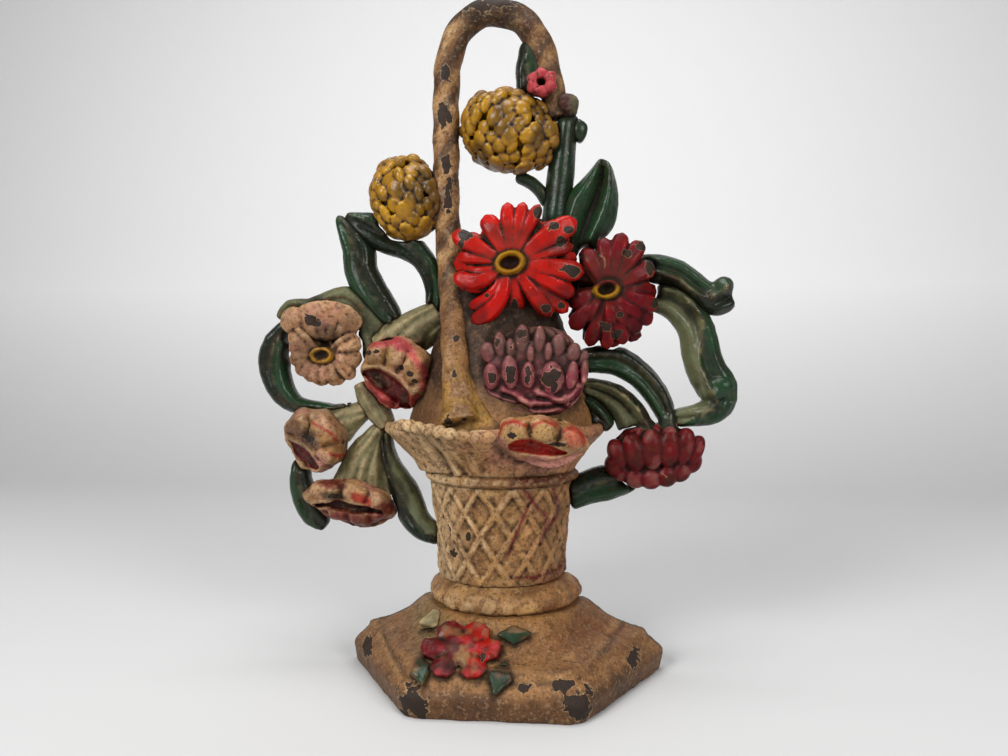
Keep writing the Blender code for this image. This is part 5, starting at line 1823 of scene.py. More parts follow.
@dataclass
class Daisy(Casting):
    """Tan daisy with one broad petal over the top of its ring."""

    node: str = "daisy"
    eye: Flat = (-69.0, 118.2)
    ring: Flat = (5.2, 3.4)
    tips: Sequence[Point] = (
        (-13.4, 9.5, 7.5), (-14, 3.8, 5.4), (-13.6, -1.6, 5.4), (-10.8, -6.6, 5.6), (-6.6, -9.6, 4.8),
        (-1.4, -11.6, 7), (6.4, -11.4, 7.4), (12, -8, 6), (14.6, -1.5, 7.5), (14.4, 6.5, 8),
    )
    hood: Sequence[Row] = ((-12, 13.6, 5.6, 5, 30), (0.6, 13.4, 14.2, 7.6, -3))
    creases: Sequence[Line] = (
        [(-74.5, 119.3), (-81.3, 120.3)], [(-74, 117.4), (-80.3, 116.5)], [(-73.5, 116.5), (-78.4, 111.8)],
        [(-72.1, 115.5), (-75, 109.4)], [(-69.6, 115.1), (-70.6, 107.5)], [(-66.7, 115.1), (-65.8, 106.1)],
        [(-64.8, 116), (-60.9, 107.5)], [(-63.8, 117.4), (-58, 109.9)], [(-63.4, 119.6), (-56, 118.4)],
        [(-70, 121.6), (-71.6, 131)], [(-66.6, 121.4), (-63.4, 130)], [(-73, 121), (-80, 127.6)],
        [(-64, 121), (-56.8, 125.4)], [(-68.4, 121.6), (-67.8, 128)],
    )

    def build(self) -> None:
        """Make the flower."""
        x, z = self.eye
        front = self.front(self.node)
        solids = [self.core(self.node, 0.84, 0.6)]
        for dx, dz, width in self.tips:
            far = hypot(dx, dz)
            root = (x + dx / far * 3, front - 3.8, z + dz / far * 2)
            tip = (x + dx, front - 5.2, z + dz)
            solids.append(petal(root, tip, width, 2.3, 0, 1.8, 0.25, 0.7))
        for dx, dz, wide, high, roll in self.hood:
            solids.append(bead((x + dx, front - 5, z + dz), (wide, 1.9, high), roll, 5))
        wide, high = self.ring

        def dome(rho: float, angle: float) -> float:
            """Raised ring round a flat eye."""
            ridge, flat = exp(-(((rho - 0.75) / 0.2) ** 2)), exp(-((rho / 0.4) ** 2))
            return 1.8 * ridge - flat - 2.5 * max(0, rho - 0.85) / 0.15

        solids.append(relief_disc((x, front - 2, z), (wide, high), lambda angle: 1, dome, front - 8))
        skin = Skin(solids, 0.4).soften(2)
        for crease in self.creases:
            skin.ridge(crease, 1.3, -0.75)
        skin.roughen(41, 2.8)
        coat = Coat(skin, Hue.DAISY)
        cloud = skin.grain(5, 44)
        # Painted shade in the hollows and creases, and painted highlight on the crests.
        coat.wash(Hue.BROWN, skin.hollows(1.4, 0.35) * 0.9)
        coat.wash(Hue.BONE, skin.crests(2, 0.4) * 0.45)
        coat.wash(Hue.BROWN, step(-cloud, -0.1, 0.6) * 0.5)
        coat.patch(Hue.BROWN, 0.6, x - 8, z - 1, 4.6, 7, 0.5, 0.6)
        coat.patch(Hue.SOOT_AND_SHADE, 0.75, x + 1.4, z + 8, 6, 5.4, 0.4, 0.5)
        coat.wash(Hue.LILAC, step(cloud, 0.2, 0.8) * 0.2)
        coat.wash(Hue.OCHRE, coat.oval(x, z, wide, high, 0.08, 0.1))
        coat.wash(Hue.UMBER, coat.oval(x, z, wide * 0.5, high * 0.45, 0.12, 0.15))
        spots = [Spot(x - 4.4, z + 13.4, 3.6, 2.7)]
        self.cast(self.node, Finish.TAN, coat, spots)


@dataclass
class Bud(Casting):
    """Ribbed crimson bud: a row of fat petals over a lobed lower row."""

    node: str = "crimson_bud"
    ribs: Sequence[Row] = (
        (42.4, 81.6, 3, 5.4, 24), (48.1, 82.4, 3.3, 6.6, 12), (54.4, 83.6, 3.4, 7, 3),
        (60.6, 84.6, 3.4, 7, -5), (66.2, 84.8, 3.2, 6.4, -14), (70.2, 83, 2.6, 5.6, -26),
        (40.8, 77, 2.6, 3.6, 30),
    )
    lower: Sequence[Row] = (
        (43.6, 75.2, 3.2, 3.6, 25), (48.6, 73.2, 3.2, 3.8, 10), (54.2, 73, 3.3, 3.8, 0),
        (59.8, 73.9, 3.3, 3.8, -8), (65, 75.8, 3.2, 4, -16), (69.4, 78.8, 3, 4, -26),
    )

    def build(self) -> None:
        """Make the bud."""
        front = self.front(self.node)
        across = self.solids[self.node].points[:, 0]
        middle = float(across.min() + across.max()) / 2
        solids = [self.core(self.node, 0.93, 0.84)]
        for rows, proud in ((self.ribs, 0), (self.lower, -1.6)):
            for x, z, wide, high, roll in rows:
                away = ((x - middle) / 15) ** 2
                place = (x, front - 3.4 + proud - 3.4 * away, z)
                solids.append(bead(place, (wide * 1.24, 3.2, high * 1.1), roll))
        skin = Skin(solids, 0.4)
        skin.points = skin.relax(3)
        skin.roughen(46, 0.9)
        coat = Coat(skin, Hue.CRIMSON)
        crest = skin.crests(1.6, 0.3)
        cloud = skin.grain(4, 45)
        # Painted shade in the hollows between the ribs.
        coat.wash(Hue.WINE, skin.hollows(1.8, 0.3))
        coat.wash(Hue.OX_RED, step(cloud, -0.2, 0.6) * 0.5)
        coat.stain(Hue.WINE, 0.6, 2.4, 47, 0, 0.6)
        coat.wash(Hue.IRON_BROWN, crest * step(cloud, -0.1, 0.4) * 0.8)
        coat.wash(Hue.PINK_PRIMER, crest * step(-cloud, 0.1, 0.5) * 0.5)
        self.cast(self.node, Finish.CRIMSON, coat)


@dataclass
class Rose(Casting):
    """Small pink rose with a hole in its middle, on the handle."""

    node: str = "small_rose"
    centre: Flat = (14.2, 218.7)

    def build(self) -> None:
        """Make the flower."""
        x, z = self.centre
        front = self.front(self.node)
        solids = [self.core(self.node, 0.8, 0.7)]
        for k in range(6):
            angle = radians(20 + 60 * k)
            dx, dz = 5.8 * cos(angle), 5 * sin(angle)
            root = (x + dx * 0.3, front - 1.6, z + dz * 0.3)
            solids.append(petal(root, (x + dx, front - 2.4, z + dz), 4.6, 1.5, 0.4, 0.9, 0.2, 0.55))
        skin = Skin(solids, 0.35).soften(1).roughen(47, 0.7)
        coat = Coat(skin, Hue.PINK)
        # Painted shade in the hollows between the petals.
        coat.wash(Hue.OX_RED, skin.hollows(1.2, 0.3) * 0.8)
        coat.wash(Hue.WINE, coat.oval(x - 0.3, z + 0.3, 1.5, 1.1, 0.1, 0.2))
        self.cast(self.node, Finish.PINK, coat)


@dataclass
class FootFlower(Casting):
    """Low relief flower on the foot."""

    node: str = "foot_flower"
    eye: Flat = (-10.9, 18.1)

    def build(self) -> None:
        """Make the flower."""
        x, z = self.eye
        skin = Skin([self.core(self.node)], 0.35).soften(3).swell(0.1).roughen(48, 1.4)
        coat = Coat(skin, Hue.CRIMSON)
        cloud = skin.grain(3, 49)
        coat.wash(Hue.RED, step(skin.x + cloud * 2, x - 3, x + 2))
        coat.wash(Hue.PINK, step(cloud, 0.2, 0.8) * 0.5)
        # Painted shade in the hollows between the petals.
        coat.wash(Hue.SOOT_AND_SHADE, skin.hollows(1.2, 0.2) * 0.8)
        coat.stain(Hue.SOOT_AND_SHADE, 0.6, 2.2, 50, -0.1, 0.6)
        coat.stain(Hue.CLAY, 0.6, 2.8, 53, 0, 0.6)
        coat.wash(Hue.CLAY, coat.oval(x, z - 0.4, 2.3, 2.8, 0.25, 0.25))
        self.cast(self.node, Finish.SCARLET, coat, [Spot(x - 2, z - 6, 1.6, 1.6), Spot(x + 7, z, 0.9, 1)])


@dataclass
class LeafPlan:
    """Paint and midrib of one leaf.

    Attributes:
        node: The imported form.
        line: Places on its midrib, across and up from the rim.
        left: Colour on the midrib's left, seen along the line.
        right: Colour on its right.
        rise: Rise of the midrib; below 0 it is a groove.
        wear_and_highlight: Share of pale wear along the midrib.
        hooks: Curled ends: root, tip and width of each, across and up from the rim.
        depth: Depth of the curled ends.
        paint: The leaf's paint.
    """

    node: str
    line: Line
    left: Hue = Hue.LEAF_GREEN
    right: Hue = Hue.LEAF_GREEN
    rise: float = 0.9
    wear_and_highlight: float = 0.2
    hooks: Sequence[Row] = ()
    depth: float = 5.0
    paint: Finish = Finish.GREEN


def leaf_plans() -> list[LeafPlan]:
    """Every leaf with a midrib of its own.

    Returns:
        The leaves.
    """
    green, deep, sage = Hue.LEAF_GREEN, Hue.DEEP_GREEN, Hue.SAGE
    return [
        LeafPlan("upper_left_blade", [(-64.5, 79.5), (-60.3, 72.5), (-56.8, 63), (-54, 53.5), (-45.5, 42.3)],
                 deep, green),
        LeafPlan("upper_left_arc",
                 [(-60, 80), (-50, 75.5), (-38.4, 69.5), (-29.5, 60), (-27.4, 50), (-31.5, 40)],
                 green, deep),
        LeafPlan("far_left_leaf", [(-84, 38), (-90.6, 28), (-90.2, 17), (-82, 6.4), (-60, 5.4)], green, deep),
        LeafPlan("under_leaf", [(-79.5, -13), (-80, -24), (-75, -36.5)], deep, green),
        LeafPlan("lower_left_leaf", [(-46, -4), (-44, -18), (-38, -31), (-31, -41), (-23, -43.5)],
                 sage, deep),
        LeafPlan("tall_leaf", [(27, 64), (31, 76), (35.4, 88), (37.4, 98)], green, green, -2.2, 0),
        LeafPlan("curled_leaf", [(48, 58.5), (57, 56.6), (64.5, 53.5), (71, 48.5), (77.5, 47.6), (82, 51)],
                 green, deep, 1.4, 0.3, [(75.5, 44.5, 83.6, 54, 7)]),
        LeafPlan("wavy_leaf",
                 [(54, 51.5), (64, 49), (71, 42), (73.2, 34), (72.6, 24), (75, 14), (79, 8), (72, 3.4)],
                 green, sage, 1.5, 0.7, [(73, 12, 84.8, 15, 8)]),
        LeafPlan("dark_arc_leaf", [(29, 25), (40, 25.4), (51, 19.6), (58.6, 9.5), (61.8, -1.5)], deep, green,
                 0.8, 0.2, [(60.4, 4, 61.6, -9, 8)]),
        LeafPlan("sage_arc_leaf", [(27, 16), (38, 14.6), (47.5, 8), (53.4, -1), (54.2, -6)], deep, sage, 1.2,
                 0.9, [(53, 1, 54.6, -11, 9)], paint=Finish.SAGE),
        LeafPlan("rim_leaf", [(27, 8.5), (35, 3.5), (39.5, -1.5)], green, deep),
        LeafPlan("lower_right_leaf", [(24, -27), (36, -22), (50, -19.5)], deep, green),
        LeafPlan("rose_leaf", [(8.5, 138), (8.6, 129), (8, 120)], green, deep, 0.6, 0.2,
                 [(11.5, 128, 9.4, 145.6, 9.5)], 4),
        LeafPlan("daisy_leaf", [(-88, 40), (-77, 44), (-62.5, 48), (-53, 38), (-50.5, 24)], sage, sage, 0.8,
                 paint=Finish.SAGE),
    ]


@dataclass
class Greenery(Casting):
    """Leaves, stems and the pale throats of the trumpets."""

    rim: float = 92.5
    stems: tuple[str, ...] = ("right_stem", "mum_stem", "bud_leaf")
    foot_leaves: tuple[str, ...] = ("foot_leaf_right", "foot_leaf_low_right", "foot_leaf_low_left")
    pale: tuple[str, ...] = (
        "pink_throat", "left_stem", "lower_left_throat", "lower_right_throat", "foot_leaf_high_left",
    )
    voxel: float = 0.5
    flutes: dict[str, Sequence[Line]] = field(default_factory=lambda: {
        "lower_right_throat": [
            [(-48.9, 88.1), (-54.7, 77.6), (-57.6, 69)], [(-48, 87.1), (-51.8, 75.7), (-52.8, 67.2)],
            [(-46, 85.3), (-47, 73.9), (-46, 62.6)], [(-49.9, 90), (-58.6, 80.4), (-61.5, 69.9)],
        ],
        "lower_left_throat": [
            [(-48.9, 96.6), (-56.7, 95.6), (-65.4, 92.7)], [(-48.9, 94.7), (-58.6, 90.9), (-62.5, 85.1)],
        ],
        "pink_throat": [
            [(-22, 138), (-32, 133), (-40, 126)], [(-21, 133), (-28, 127), (-32, 121)],
            [(-22, 141), (-36, 137), (-46, 129)],
        ],
    })

    def build(self) -> None:
        """Make every leaf, stem and throat."""
        for i, plan in enumerate(leaf_plans()):
            self.leaf(plan, 70 + i)
        for i, node in enumerate(self.stems + self.foot_leaves):
            skin = self.blank(node, 6, 110 + i)
            if node in self.stems:
                skin.points = skin.relax(14)
                skin.swell(0.4)
            coat = Coat(skin, Hue.LEAF_GREEN)
            if node in self.foot_leaves:
                skin.points = skin.relax(5)
                coat.stain(Hue.CLAY, 0.7, 2.4, 120 + i, -0.1, 0.5)
                coat.stain(Hue.SOOT_AND_SHADE, 0.5, 3.2, 130 + i, -0.2, 0.5)
            else:
                coat.wash(Hue.DEEP_GREEN, np.array([0.5]))
            self.finish(node, skin, coat, 110 + i)
        for i, node in enumerate(self.pale):
            skin = self.blank(node, 6, 90 + i)
            for line in self.flutes.get(node, []):
                skin.ridge(line, 1.2, -0.8)
            coat = Coat(skin, Hue.SAGE)
            cloud = skin.grain(6, 91 + i) * 0.6 + skin.grain(2, 92 + i) * 0.4
            coat.wash(Hue.PALE_SAGE, step(cloud, -0.5, 0.3) * 0.85)
            coat.wash(Hue.BROWN, step(-cloud, 0.2, 0.8) * 0.4)
            # Painted shade in the hollows and flutes, and painted highlight on the crests.
            coat.wash(Hue.UMBER, skin.hollows(2.2, 0.5) * 0.5)
            coat.wash(Hue.BONE, skin.crests(1.6, 0.3) * 0.45)
            coat.wash(Hue.IRON, step(-skin.normals()[:, 1], 0.5, 0.9))
            self.cast(node, Finish.SAGE, coat, clean_and_unshaded=0.4)

    def blank(self, node: str, smooth: int, seed: int) -> Skin:
        """Skin of a packed form with its facets rounded off, rough in one pattern."""
        return Skin([self.core(node)], self.voxel).soften(smooth).swell(0.2).roughen(seed)

    def leaf(self, plan: LeafPlan, seed: int) -> None:
        """Make one leaf with its midrib and a colour on either side.

        Args:
            plan: The leaf.
            seed: Picks its patterns.
        """
        solids = [self.core(plan.node)]
        for x0, z0, x1, z1, width in plan.hooks:
            root, tip = (x0, plan.depth, self.rim + z0), (x1, plan.depth, self.rim + z1)
            solids.append(petal(root, tip, width, 3.6, 0, 0.6, 0, 0.6))
        skin = Skin(solids, self.voxel)
        skin.points = skin.relax(16)
        skin.swell(0.55)
        line = [(x, self.rim + z) for x, z in plan.line]
        skin.ridge(line, 1.5, plan.rise)
        skin.ridge([(x + 0.4, z - 3.2) for x, z in line], 1.3, -0.5 * abs(plan.rise))
        skin.roughen(seed)
        far, _, side = skin.along(line)
        cloud = skin.grain(4, seed)
        # The halves either side of the midrib take different greens: partly two-tone paint, partly painted
        # shade on the half turned from the light.
        share = step(side + cloud * 0.7, -0.5, 0.5)
        coat = Coat(skin, plan.right)
        coat.wash(plan.left, share)
        crest = np.exp(-(far / 1.1) ** 2)
        coat.wash(Hue.IRON_BROWN, crest * step(skin.grain(5, seed + 1), -0.5, 0.3) * 0.6)
        coat.wash(Hue.PALE_SAGE, crest * step(skin.grain(2.2, seed + 2), 0.1, 0.4) * plan.wear_and_highlight)
        self.finish(plan.node, skin, coat, seed, plan.paint)

    def finish(self, node: str, skin: Skin, coat: Coat, seed: int, paint: Finish = Finish.GREEN) -> None:
        """Darken the hollows with painted shade, wear the edges and finish a green piece.

        Args:
            node: The form.
            skin: Its skin.
            coat: Its colours.
            seed: Picks its patterns.
            paint: Its paint.
        """
        cloud = skin.grain(9, 1 + seed) * 0.6 + skin.grain(3, 2 + seed) * 0.4
        coat.wash(Hue.DEEP_GREEN, step(cloud, -0.1, 0.5) * 0.6)
        # Painted shade in the hollows.
        coat.wash(Hue.DEEP_GREEN, skin.hollows(2.2, 0.4) * 0.9)
        facing = skin.normals()[:, 1]
        edge = 1 - step(facing, 0.05, 0.6)
        coat.wash(Hue.IRON_BROWN, edge * step(cloud, -0.4, 0.3) * 0.6)
        coat.wash(Hue.IRON, step(-facing, 0.3, 0.8))
        self.cast(node, paint, coat)


@dataclass
class Filling(Casting):
    """Mound in the basket and the small bud on the handle."""

    def build(self) -> None:
        """Make the mound and the rose bud."""
        skin = Skin([self.core("mound")], 0.7).soften(6).swell(0.3).roughen(55, 2)
        low = step(-skin.z, -96, -93)
        skin.points[:, 2] -= 2.2 * low
        skin.points[:, 1] += 0.9 * low * (skin.y > 10)
        coat = Coat(skin, Hue.CLAY)
        cloud = skin.grain(6, 56)
        coat.wash(Hue.TAN, step(cloud, 0, 0.7) * 0.6)
        # Painted shadow: the mound darkens up behind the flowers and left of the handle.
        coat.wash(Hue.SOOT_AND_SHADE, step(skin.z + cloud * 5, 96, 112) * 0.95)
        coat.wash(Hue.SOOT_AND_SHADE, step(-skin.x + cloud * 3, 18, 26) * 0.6)
        self.cast("mound", Finish.UMBER, coat, clean_and_unshaded=1 - step(skin.z, 92, 100) * 0.7)
        skin = Skin([self.core("rose_bud")], 0.35).soften(3).roughen(57)
        coat = Coat(skin, Hue.VIOLET)
        coat.stain(Hue.DUST, 0.6, 2.4, 58, 0, 0.5)
        coat.patch(Hue.WINE, 0.9, 22.4, 212.6, 3, 1.5, 0.2, 0.3, 25)
        coat.patch(Hue.SAGE, 0.6, 26.5, 211, 2, 4, 0.2, 0.5)
        self.cast("rose_bud", Finish.UMBER, coat)


@dataclass
class Studio:
    """Camera, backdrop and lamps."""

    focal: float = 27.04
    yaw: float = radians(5)
    eye: float = 114.6
    away: float = 292.5
    aside: float = 0.75
    horizon_shift: float = -13 / 1008
    backdrop: Colour = (1.0, 1.0, 1.0)
    paper: Colour = (0.61, 0.61, 0.61)
    fade: float = 0.22
    reach: float = 14.0
    wall: float = 5.0
    bend_starts: float = 0.42
    bend: float = 0.35
    air: float = 0.16
    aim: Vector = Vector((0.0, 0.0, 0.12)).freeze()
    lights: Sequence[tuple] = (
        ("left lamp", (-0.5, -0.65, 0.6), 0.35, 6.6),
        ("right lamp", (0.6, -0.6, 0.5), 0.35, 4.0),
        ("top lamp", (0.0, -0.05, 0.95), 0.45, 4.4),
    )

    def build(self) -> None:
        """Make the whole studio."""
        self.camera()
        self.floor()
        self.lamps()

    def camera(self) -> None:
        """Camera at the photograph's angle."""
        c, s = cos(self.yaw), sin(self.yaw)
        data = bpy.data.cameras.new("photo camera")
        data.sensor_width = SENSOR
        data.lens = self.focal
        data.shift_y = self.horizon_shift
        data.clip_start = 0.01
        camera = add_object("photo camera", data)
        aside = -self.aside * c + self.away * s
        away = -self.aside * s - self.away * c
        camera.location = Vector((FRAME_X + aside, FRAME_BACK + away, self.eye)) * MM
        turn = Matrix((Vector((c, s, 0)), Vector((0, 0, 1)), Vector((s, -c, 0)))).transposed()
        camera.rotation_euler = turn.to_euler()
        bpy.context.scene.camera = camera

    def floor(self) -> None:
        """Pale sweep: floor, bend and back wall in one sheet."""
        back, bend, steps = self.bend_starts, self.bend, 16
        profile = [(-self.reach, 0.0), (back, 0.0)]
        for k in range(1, steps + 1):
            angle = pi / 2 * k / steps
            profile.append((back + bend * sin(angle), bend - bend * cos(angle)))
        profile.append((back + bend, self.wall))
        points = [(x, y, z) for y, z in profile for x in (-self.reach, self.reach)]
        faces = [(2 * i, 2 * i + 1, 2 * i + 3, 2 * i + 2) for i in range(len(profile) - 1)]
        mesh = bpy.data.meshes.new("sweep")
        mesh.from_pydata(points, [], faces)
        mesh.polygons.foreach_set("use_smooth", [True] * len(mesh.polygons))
        material = bpy.data.materials.new("pale paper")
        material.use_nodes = True
        nodes = Nodes(material.node_tree)
        place = nodes.wire("ShaderNodeTexCoord", output="Object")
        height = nodes.wire("ShaderNodeSeparateXYZ", {0: place}, "Z")
        # Painted fall-off of light: the sweep grades from grey on the floor to white up the wall.
        climb = nodes.wire("ShaderNodeMapRange", {"Value": height, "From Min": 0.0, "From Max": self.fade})
        ends = {0: climb, 6: (*self.paper, 1.0), 7: (*self.backdrop, 1.0)}
        shade = nodes.wire("ShaderNodeMix", ends, 2, data_type="RGBA")
        nodes.dress({"Base Color": shade, "Roughness": 0.9, "Specular IOR Level": 0.1})
        mesh.materials.append(material)
        add_object("sweep", mesh)

    def lamps(self) -> None:
        """Soft lamps at both sides and above, and a plain world."""
        world = bpy.data.worlds.new("studio")
        bpy.context.scene.world = world
        world.use_nodes = True
        back = world.node_tree.nodes["Background"]
        back.inputs["Color"].default_value = (1.0, 1.0, 1.0, 1.0)
        back.inputs["Strength"].default_value = self.air
        for name, place, size, power in self.lights:
            data = bpy.data.lights.new(name, "AREA")
            data.size = size
            data.energy = power
            lamp = add_object(name, data)
            lamp.location = place
            lamp.rotation_euler = (self.aim - Vector(place)).to_track_quat("-Z", "Y").to_euler()
        bpy.context.scene.view_settings.view_transform = "Standard"


def scarlet_zinnia() -> Zinnia:
    """The large scarlet zinnia in the middle.

    Returns:
        The flower.
    """
    petals = [PetalPlan(*row) for row in (
        (2, -18, 8, 0, 9), (-19.5, 3, 5, 0, 8),
        (22.3, 6.7, 5.4, 0, 7.6), (20.3, -16.9, 6.4, 0, 8.4),
        (-20.7, 10.8, 7), (-8.9, 17.2, 7.6), (-1, 21.6, 5.8),
        (4.8, 21.6, 5.2), (10.5, 20.8, 5), (23.4, 15, 9, 0.6),
        (26.1, -3, 8.2), (22.8, -11, 6.8), (14.2, -18.8, 7),
        (-15.6, -15, 5.6, 3.4, 7.4), (-14.8, -20.6, 7.4, 4.6, 5),
        (-17, -1, 4.6, 2.4, 7.4), (-20.4, -3.6, 6.8, 4.4, 5.2),
    )]
    spots = [
        Spot(-12, 160.2, 2, 1.7), Spot(-13.4, 157, 0.9, 1.3), Spot(13.8, 168.3, 1.9, 2.8),
        Spot(13.1, 161.6, 0.8, 1.2), Spot(18.9, 163.2, 2.2, 1.9), Spot(23.9, 162, 1.8, 1.3),
        Spot(21.6, 158.1, 1.6, 1.4), Spot(25.4, 148, 3.6, 1.8), Spot(-4.5, 139, 1, 0.9),
        Spot(4.9, 136.6, 1.2, 2.4), Spot(15.8, 134.7, 1.6, 1.3), Spot(21.6, 135.7, 0.9, 0.8),
    ]
    return Zinnia("red_zinnia", Finish.SCARLET, (3.6, 150.6), petals,
                  (Hue.SCARLET, Hue.OX_RED, Hue.OX_RED), (6.2, 4.6, 12), spots)


def dark_zinnia() -> Zinnia:
    """The dark double zinnia at its right.

    Returns:
        The flower.
    """
    petals = [PetalPlan(*row) for row in (
        (16.9, 1, 6, 0, 8), (16.9, -11.7, 6, 0, 8),
        (-13.6, -5, 7, 0, 8.4), (-7.5, 14.6, 6.6), (-0.8, 19, 6.2),
        (5.9, 20.7, 6.8), (13, 17.6, 7), (17.4, 8.9, 7.4),
        (18.9, -6.1, 7.4), (12.1, -15.5, 7), (6.7, -19.5, 6.6),
        (0.4, -21.4, 5.8), (-6.2, -20.4, 5.8), (-12.8, -14, 7),
        (13.4, -8.6, 5.8, -1.6, 3.6), (8.4, -12.2, 5.8, -1.4, 3.2),
        (1.8, -13.4, 5.4, 0, 3.2), (-8, -11.4, 5.6, 0, 3.8),
    )]
    spots = [
        Spot(44.9, 154.2, 1.6, 1.5), Spot(50.2, 157.4, 1.9, 2), Spot(53.7, 150.6, 1.5, 3.2),
        Spot(55.2, 137.2, 1.4, 1.5), Spot(42.7, 132.6, 1.3, 1), Spot(37.3, 128.8, 2.2, 1.5),
        Spot(41.6, 125.3, 1.7, 1.6),
    ]
    return Zinnia("crimson_zinnia", Finish.CRIMSON, (37.7, 141.7), petals,
                  (Hue.CRIMSON, Hue.WINE, Hue.UMBER), (5.4, 3.8, 10), spots, turn=8, shade=0.1, wear_and_highlight=Hue.RED)


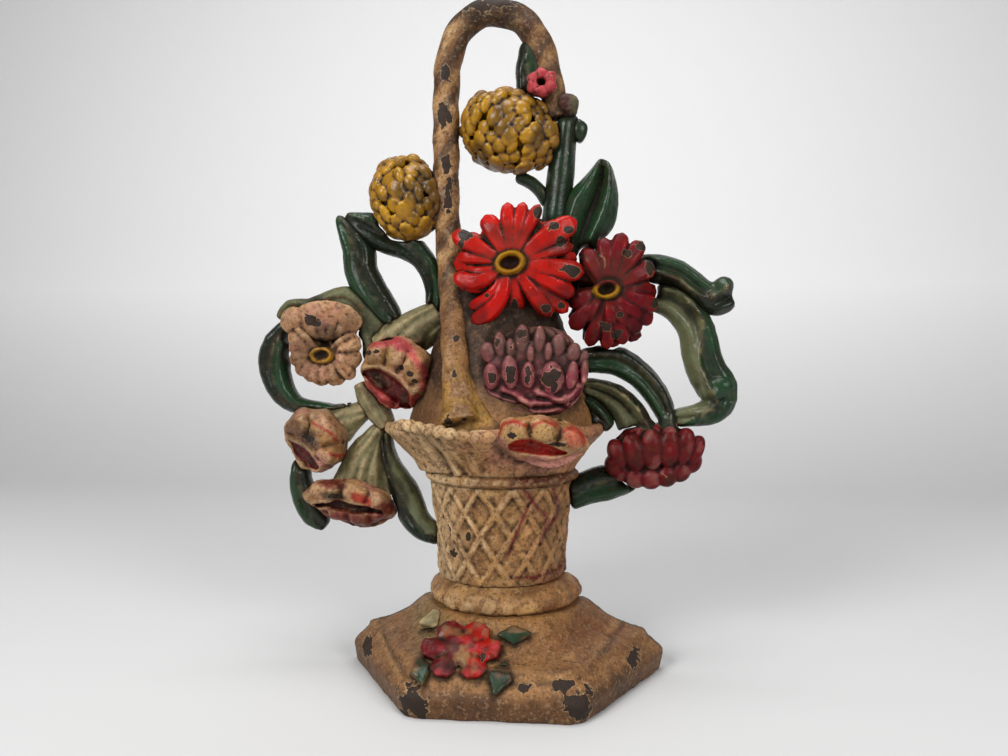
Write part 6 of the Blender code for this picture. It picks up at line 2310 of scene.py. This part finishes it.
def trumpets() -> list[Trumpet]:
    """The four trumpet flowers.

    Returns:
        The flowers.
    """
    return [
        Trumpet(
            "pink_trumpet", (-40.2, 112.0), (14.8, 13.6), -28,
            [(-47, 120, 6.4, 4.6, 20, 2), (-38.5, 119, 6.2, 5.2, -30, 2.4), (-31.5, 112.5, 4.6, 6.4, 25, 2.2),
             (-30.6, 104.6, 3.6, 4.6, 10, 1.6), (-47.8, 104, 4.6, 2.2, -35, 0.8),
             (-41.4, 99.6, 4.6, 2, -35, 0.8)],
            [(-52.6, 111.4, 1.6), (-47.4, 109.8, 3.8), (-42.4, 106.4, 4.6), (-38.6, 102.4, 4.4),
             (-37.2, 99.2, 2.4)], Hue.TAN, Hue.CRIMSON,
            folds=[[(-43, 124.5), (-42.6, 119.5), (-43.6, 115)],
                   [(-34.2, 119.5), (-36, 115.5), (-38.2, 112.6)],
                   [(-27.4, 108.8), (-33, 107.4)], [(-49.6, 101.6), (-45.4, 104.6)],
                   [(-43.4, 97.6), (-40.8, 101.2)]],
            lines=[[(-51.5, 124), (-46.8, 125.4), (-41.2, 125.2), (-34.4, 120.4), (-29.9, 115),
                    (-27.6, 110.6), (-28.6, 105.9)],
                   [(-33, 100), (-37, 97.8), (-43, 100.4), (-49, 104.6)]],
            patches=[(-46.4, 102.6, 9, 3, -38, Hue.PINK), (-44, 123, 7, 2.2, 6, Hue.PINK),
                     (-36.6, 121.6, 4, 2.2, -35, Hue.PINK), (-32, 101.6, 3.4, 2.2, 0, Hue.PINK)],
            spots=[Spot(-50, 119.2, 2.2, 0.9), Spot(-45.8, 119.4, 1.4, 0.8), Spot(-36.8, 113.6, 1.2, 1),
                   Spot(-33.4, 111.4, 1.2, 1), Spot(-31.6, 108.6, 0.9, 0.8)],
            line_colour=Hue.PINK, line_half=1.5, nod=10, turn=-12,
        ),
        Trumpet(
            "lower_left_trumpet", (-72.6, 86.4), (13.8, 12.6), -44,
            [(-77, 93.5, 7, 5, 25, 2), (-67.5, 89, 5.6, 6.4, 35, 2.4), (-65, 80.5, 5, 5, 0, 2),
             (-73.6, 75.4, 4, 1.8, -20, 0.6)],
            [(-82.4, 85, 1.6), (-78.6, 81.4, 3.8), (-75.2, 78.4, 4), (-71.6, 76.2, 1.8)],
            Hue.CLAY, Hue.CRIMSON,
            folds=[[(-74.5, 97.4), (-72.5, 92.6), (-73.5, 88)], [(-60.8, 85.4), (-67, 84.2)],
                   [(-64.4, 75), (-69.5, 79.5)], [(-86, 89.4), (-80, 88)]],
            lines=[[(-70.4, 93), (-66.1, 91.1), (-62.7, 88.8), (-62.2, 86.5)],
                   [(-64.2, 81.8), (-60.4, 79.2)]],
            patches=[(-64.6, 86, 3.4, 4, 25, Hue.TAN), (-70, 78.4, 3.4, 2.4, 0, Hue.PINK_PRIMER),
                     (-72.6, 86.8, 4.4, 3.8, -30, Hue.IRON_BROWN), (-79.6, 90.6, 4, 5, 0, Hue.BROWN)],
            spots=[Spot(-73, 87, 2.6, 2.2)],
            nod=8, turn=-14,
        ),
        Trumpet(
            "lower_right_trumpet", (-58.8, 62.6), (18.6, 9.4), -10,
            [(-66.5, 68, 6.8, 3.6, -6, 1.8), (-55, 65.6, 6.2, 3.8, -30, 2.2), (-46, 62, 4.2, 3.6, -20, 1.6),
             (-57, 56.4, 13, 2.8, -6, 0.8)],
            [(-71, 61.6, 0.8), (-63.5, 62, 1.9), (-56.8, 61, 2), (-51.2, 60.2, 1.6), (-46, 59.6, 0.8)],
            Hue.CLAY, Hue.WINE,
            folds=[[(-60.4, 71.2), (-60.4, 67.4), (-61.2, 64)], [(-49.6, 68), (-51.2, 64)],
                   [(-67.5, 60.4), (-67, 54.6)], [(-59, 59.4), (-59, 53)], [(-50.8, 58.6), (-49.8, 53)]],
            patches=[(-64, 70, 4.8, 1.5, -8, Hue.CRIMSON), (-52.4, 64.8, 4.6, 1.8, -35, Hue.RED),
                     (-57, 56.6, 15.5, 3.9, -6, Hue.CRIMSON), (-44.6, 60.6, 3.6, 3, 0, Hue.CRIMSON),
                     (-63, 65.8, 5, 1.9, -5, Hue.IRON_BROWN)],
            spots=[Spot(-62.6, 65.8, 3, 1)],
            depth=3.2, nod=14, back=8.0,
        ),
        Trumpet(
            "rim_trumpet", (14.6, 89.4), (16.4, 8.4), -5,
            [(5.9, 92, 5.8, 5.2, 0, 2.2), (16.4, 92.4, 5, 5, 0, 2.4), (25.6, 90, 4.8, 5, -25, 2.2)],
            [(5, 87.2, 1), (8.6, 87.6, 2.4), (12.3, 87.2, 2.8), (16.4, 86.2, 2.5), (20, 85.4, 1.8),
             (23, 84.9, 0.8)],
            Hue.TAN, Hue.RED,
            folds=[[(11.2, 96.4), (11, 92.4), (11.6, 89.6)], [(21.6, 95.6), (21, 91.4), (20.2, 88.6)]],
            lines=[[(0.9, 91.6), (2.6, 94.8), (6.4, 95.9), (10.2, 94.6)],
                   [(12.4, 94.2), (13.6, 95.4), (16.4, 96), (20, 94.6)],
                   [(22.6, 92.8), (25, 93.6), (27.8, 92.2), (29.4, 89.6), (29.2, 87.3)]],
            patches=[(6, 91.8, 4.4, 2.8, 0, Hue.CREAM), (16.4, 92, 3.8, 2.8, 0, Hue.CREAM),
                     (26, 90.2, 3.2, 2.8, -30, Hue.SALMON), (21.6, 81.6, 6.4, 1.6, 20, Hue.PINK_PRIMER),
                     (14.4, 81, 12, 3, 0, Hue.PINK_PRIMER), (1.2, 87, 1.6, 5, 0, Hue.PINK_PRIMER)],
            spots=[Spot(5.8, 91.4, 1.5, 1.1), Spot(21.4, 88.2, 3, 0.8)],
            gloom=0.3, depth=2.8, level=-6.2, back=26.0, nod=27, turn=6,
        ),
    ]


def main() -> None:
    """Build every sub-assembly, then the studio."""
    logging.basicConfig(level=logging.INFO, format="%(name)s: %(message)s")
    Casting.open()
    mums = (Mum("upper_mum", (1.8, 202.7), (19.2, 12.6, 14.8), 132, 20.0, 81),
            Mum("left_mum", (-37.8, 178.3), (13.4, 11.0, 16.2), 104, -14.0, 82))
    for part in (Foot(), Basket(), Handle(), Filling(), scarlet_zinnia(), dark_zinnia(), *mums, PlumMum(),
                 *trumpets(), Daisy(), Bud(), Rose(), FootFlower(), Greenery(), Studio()):
        part.build()
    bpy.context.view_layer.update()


if __name__ == "__main__":
    main()
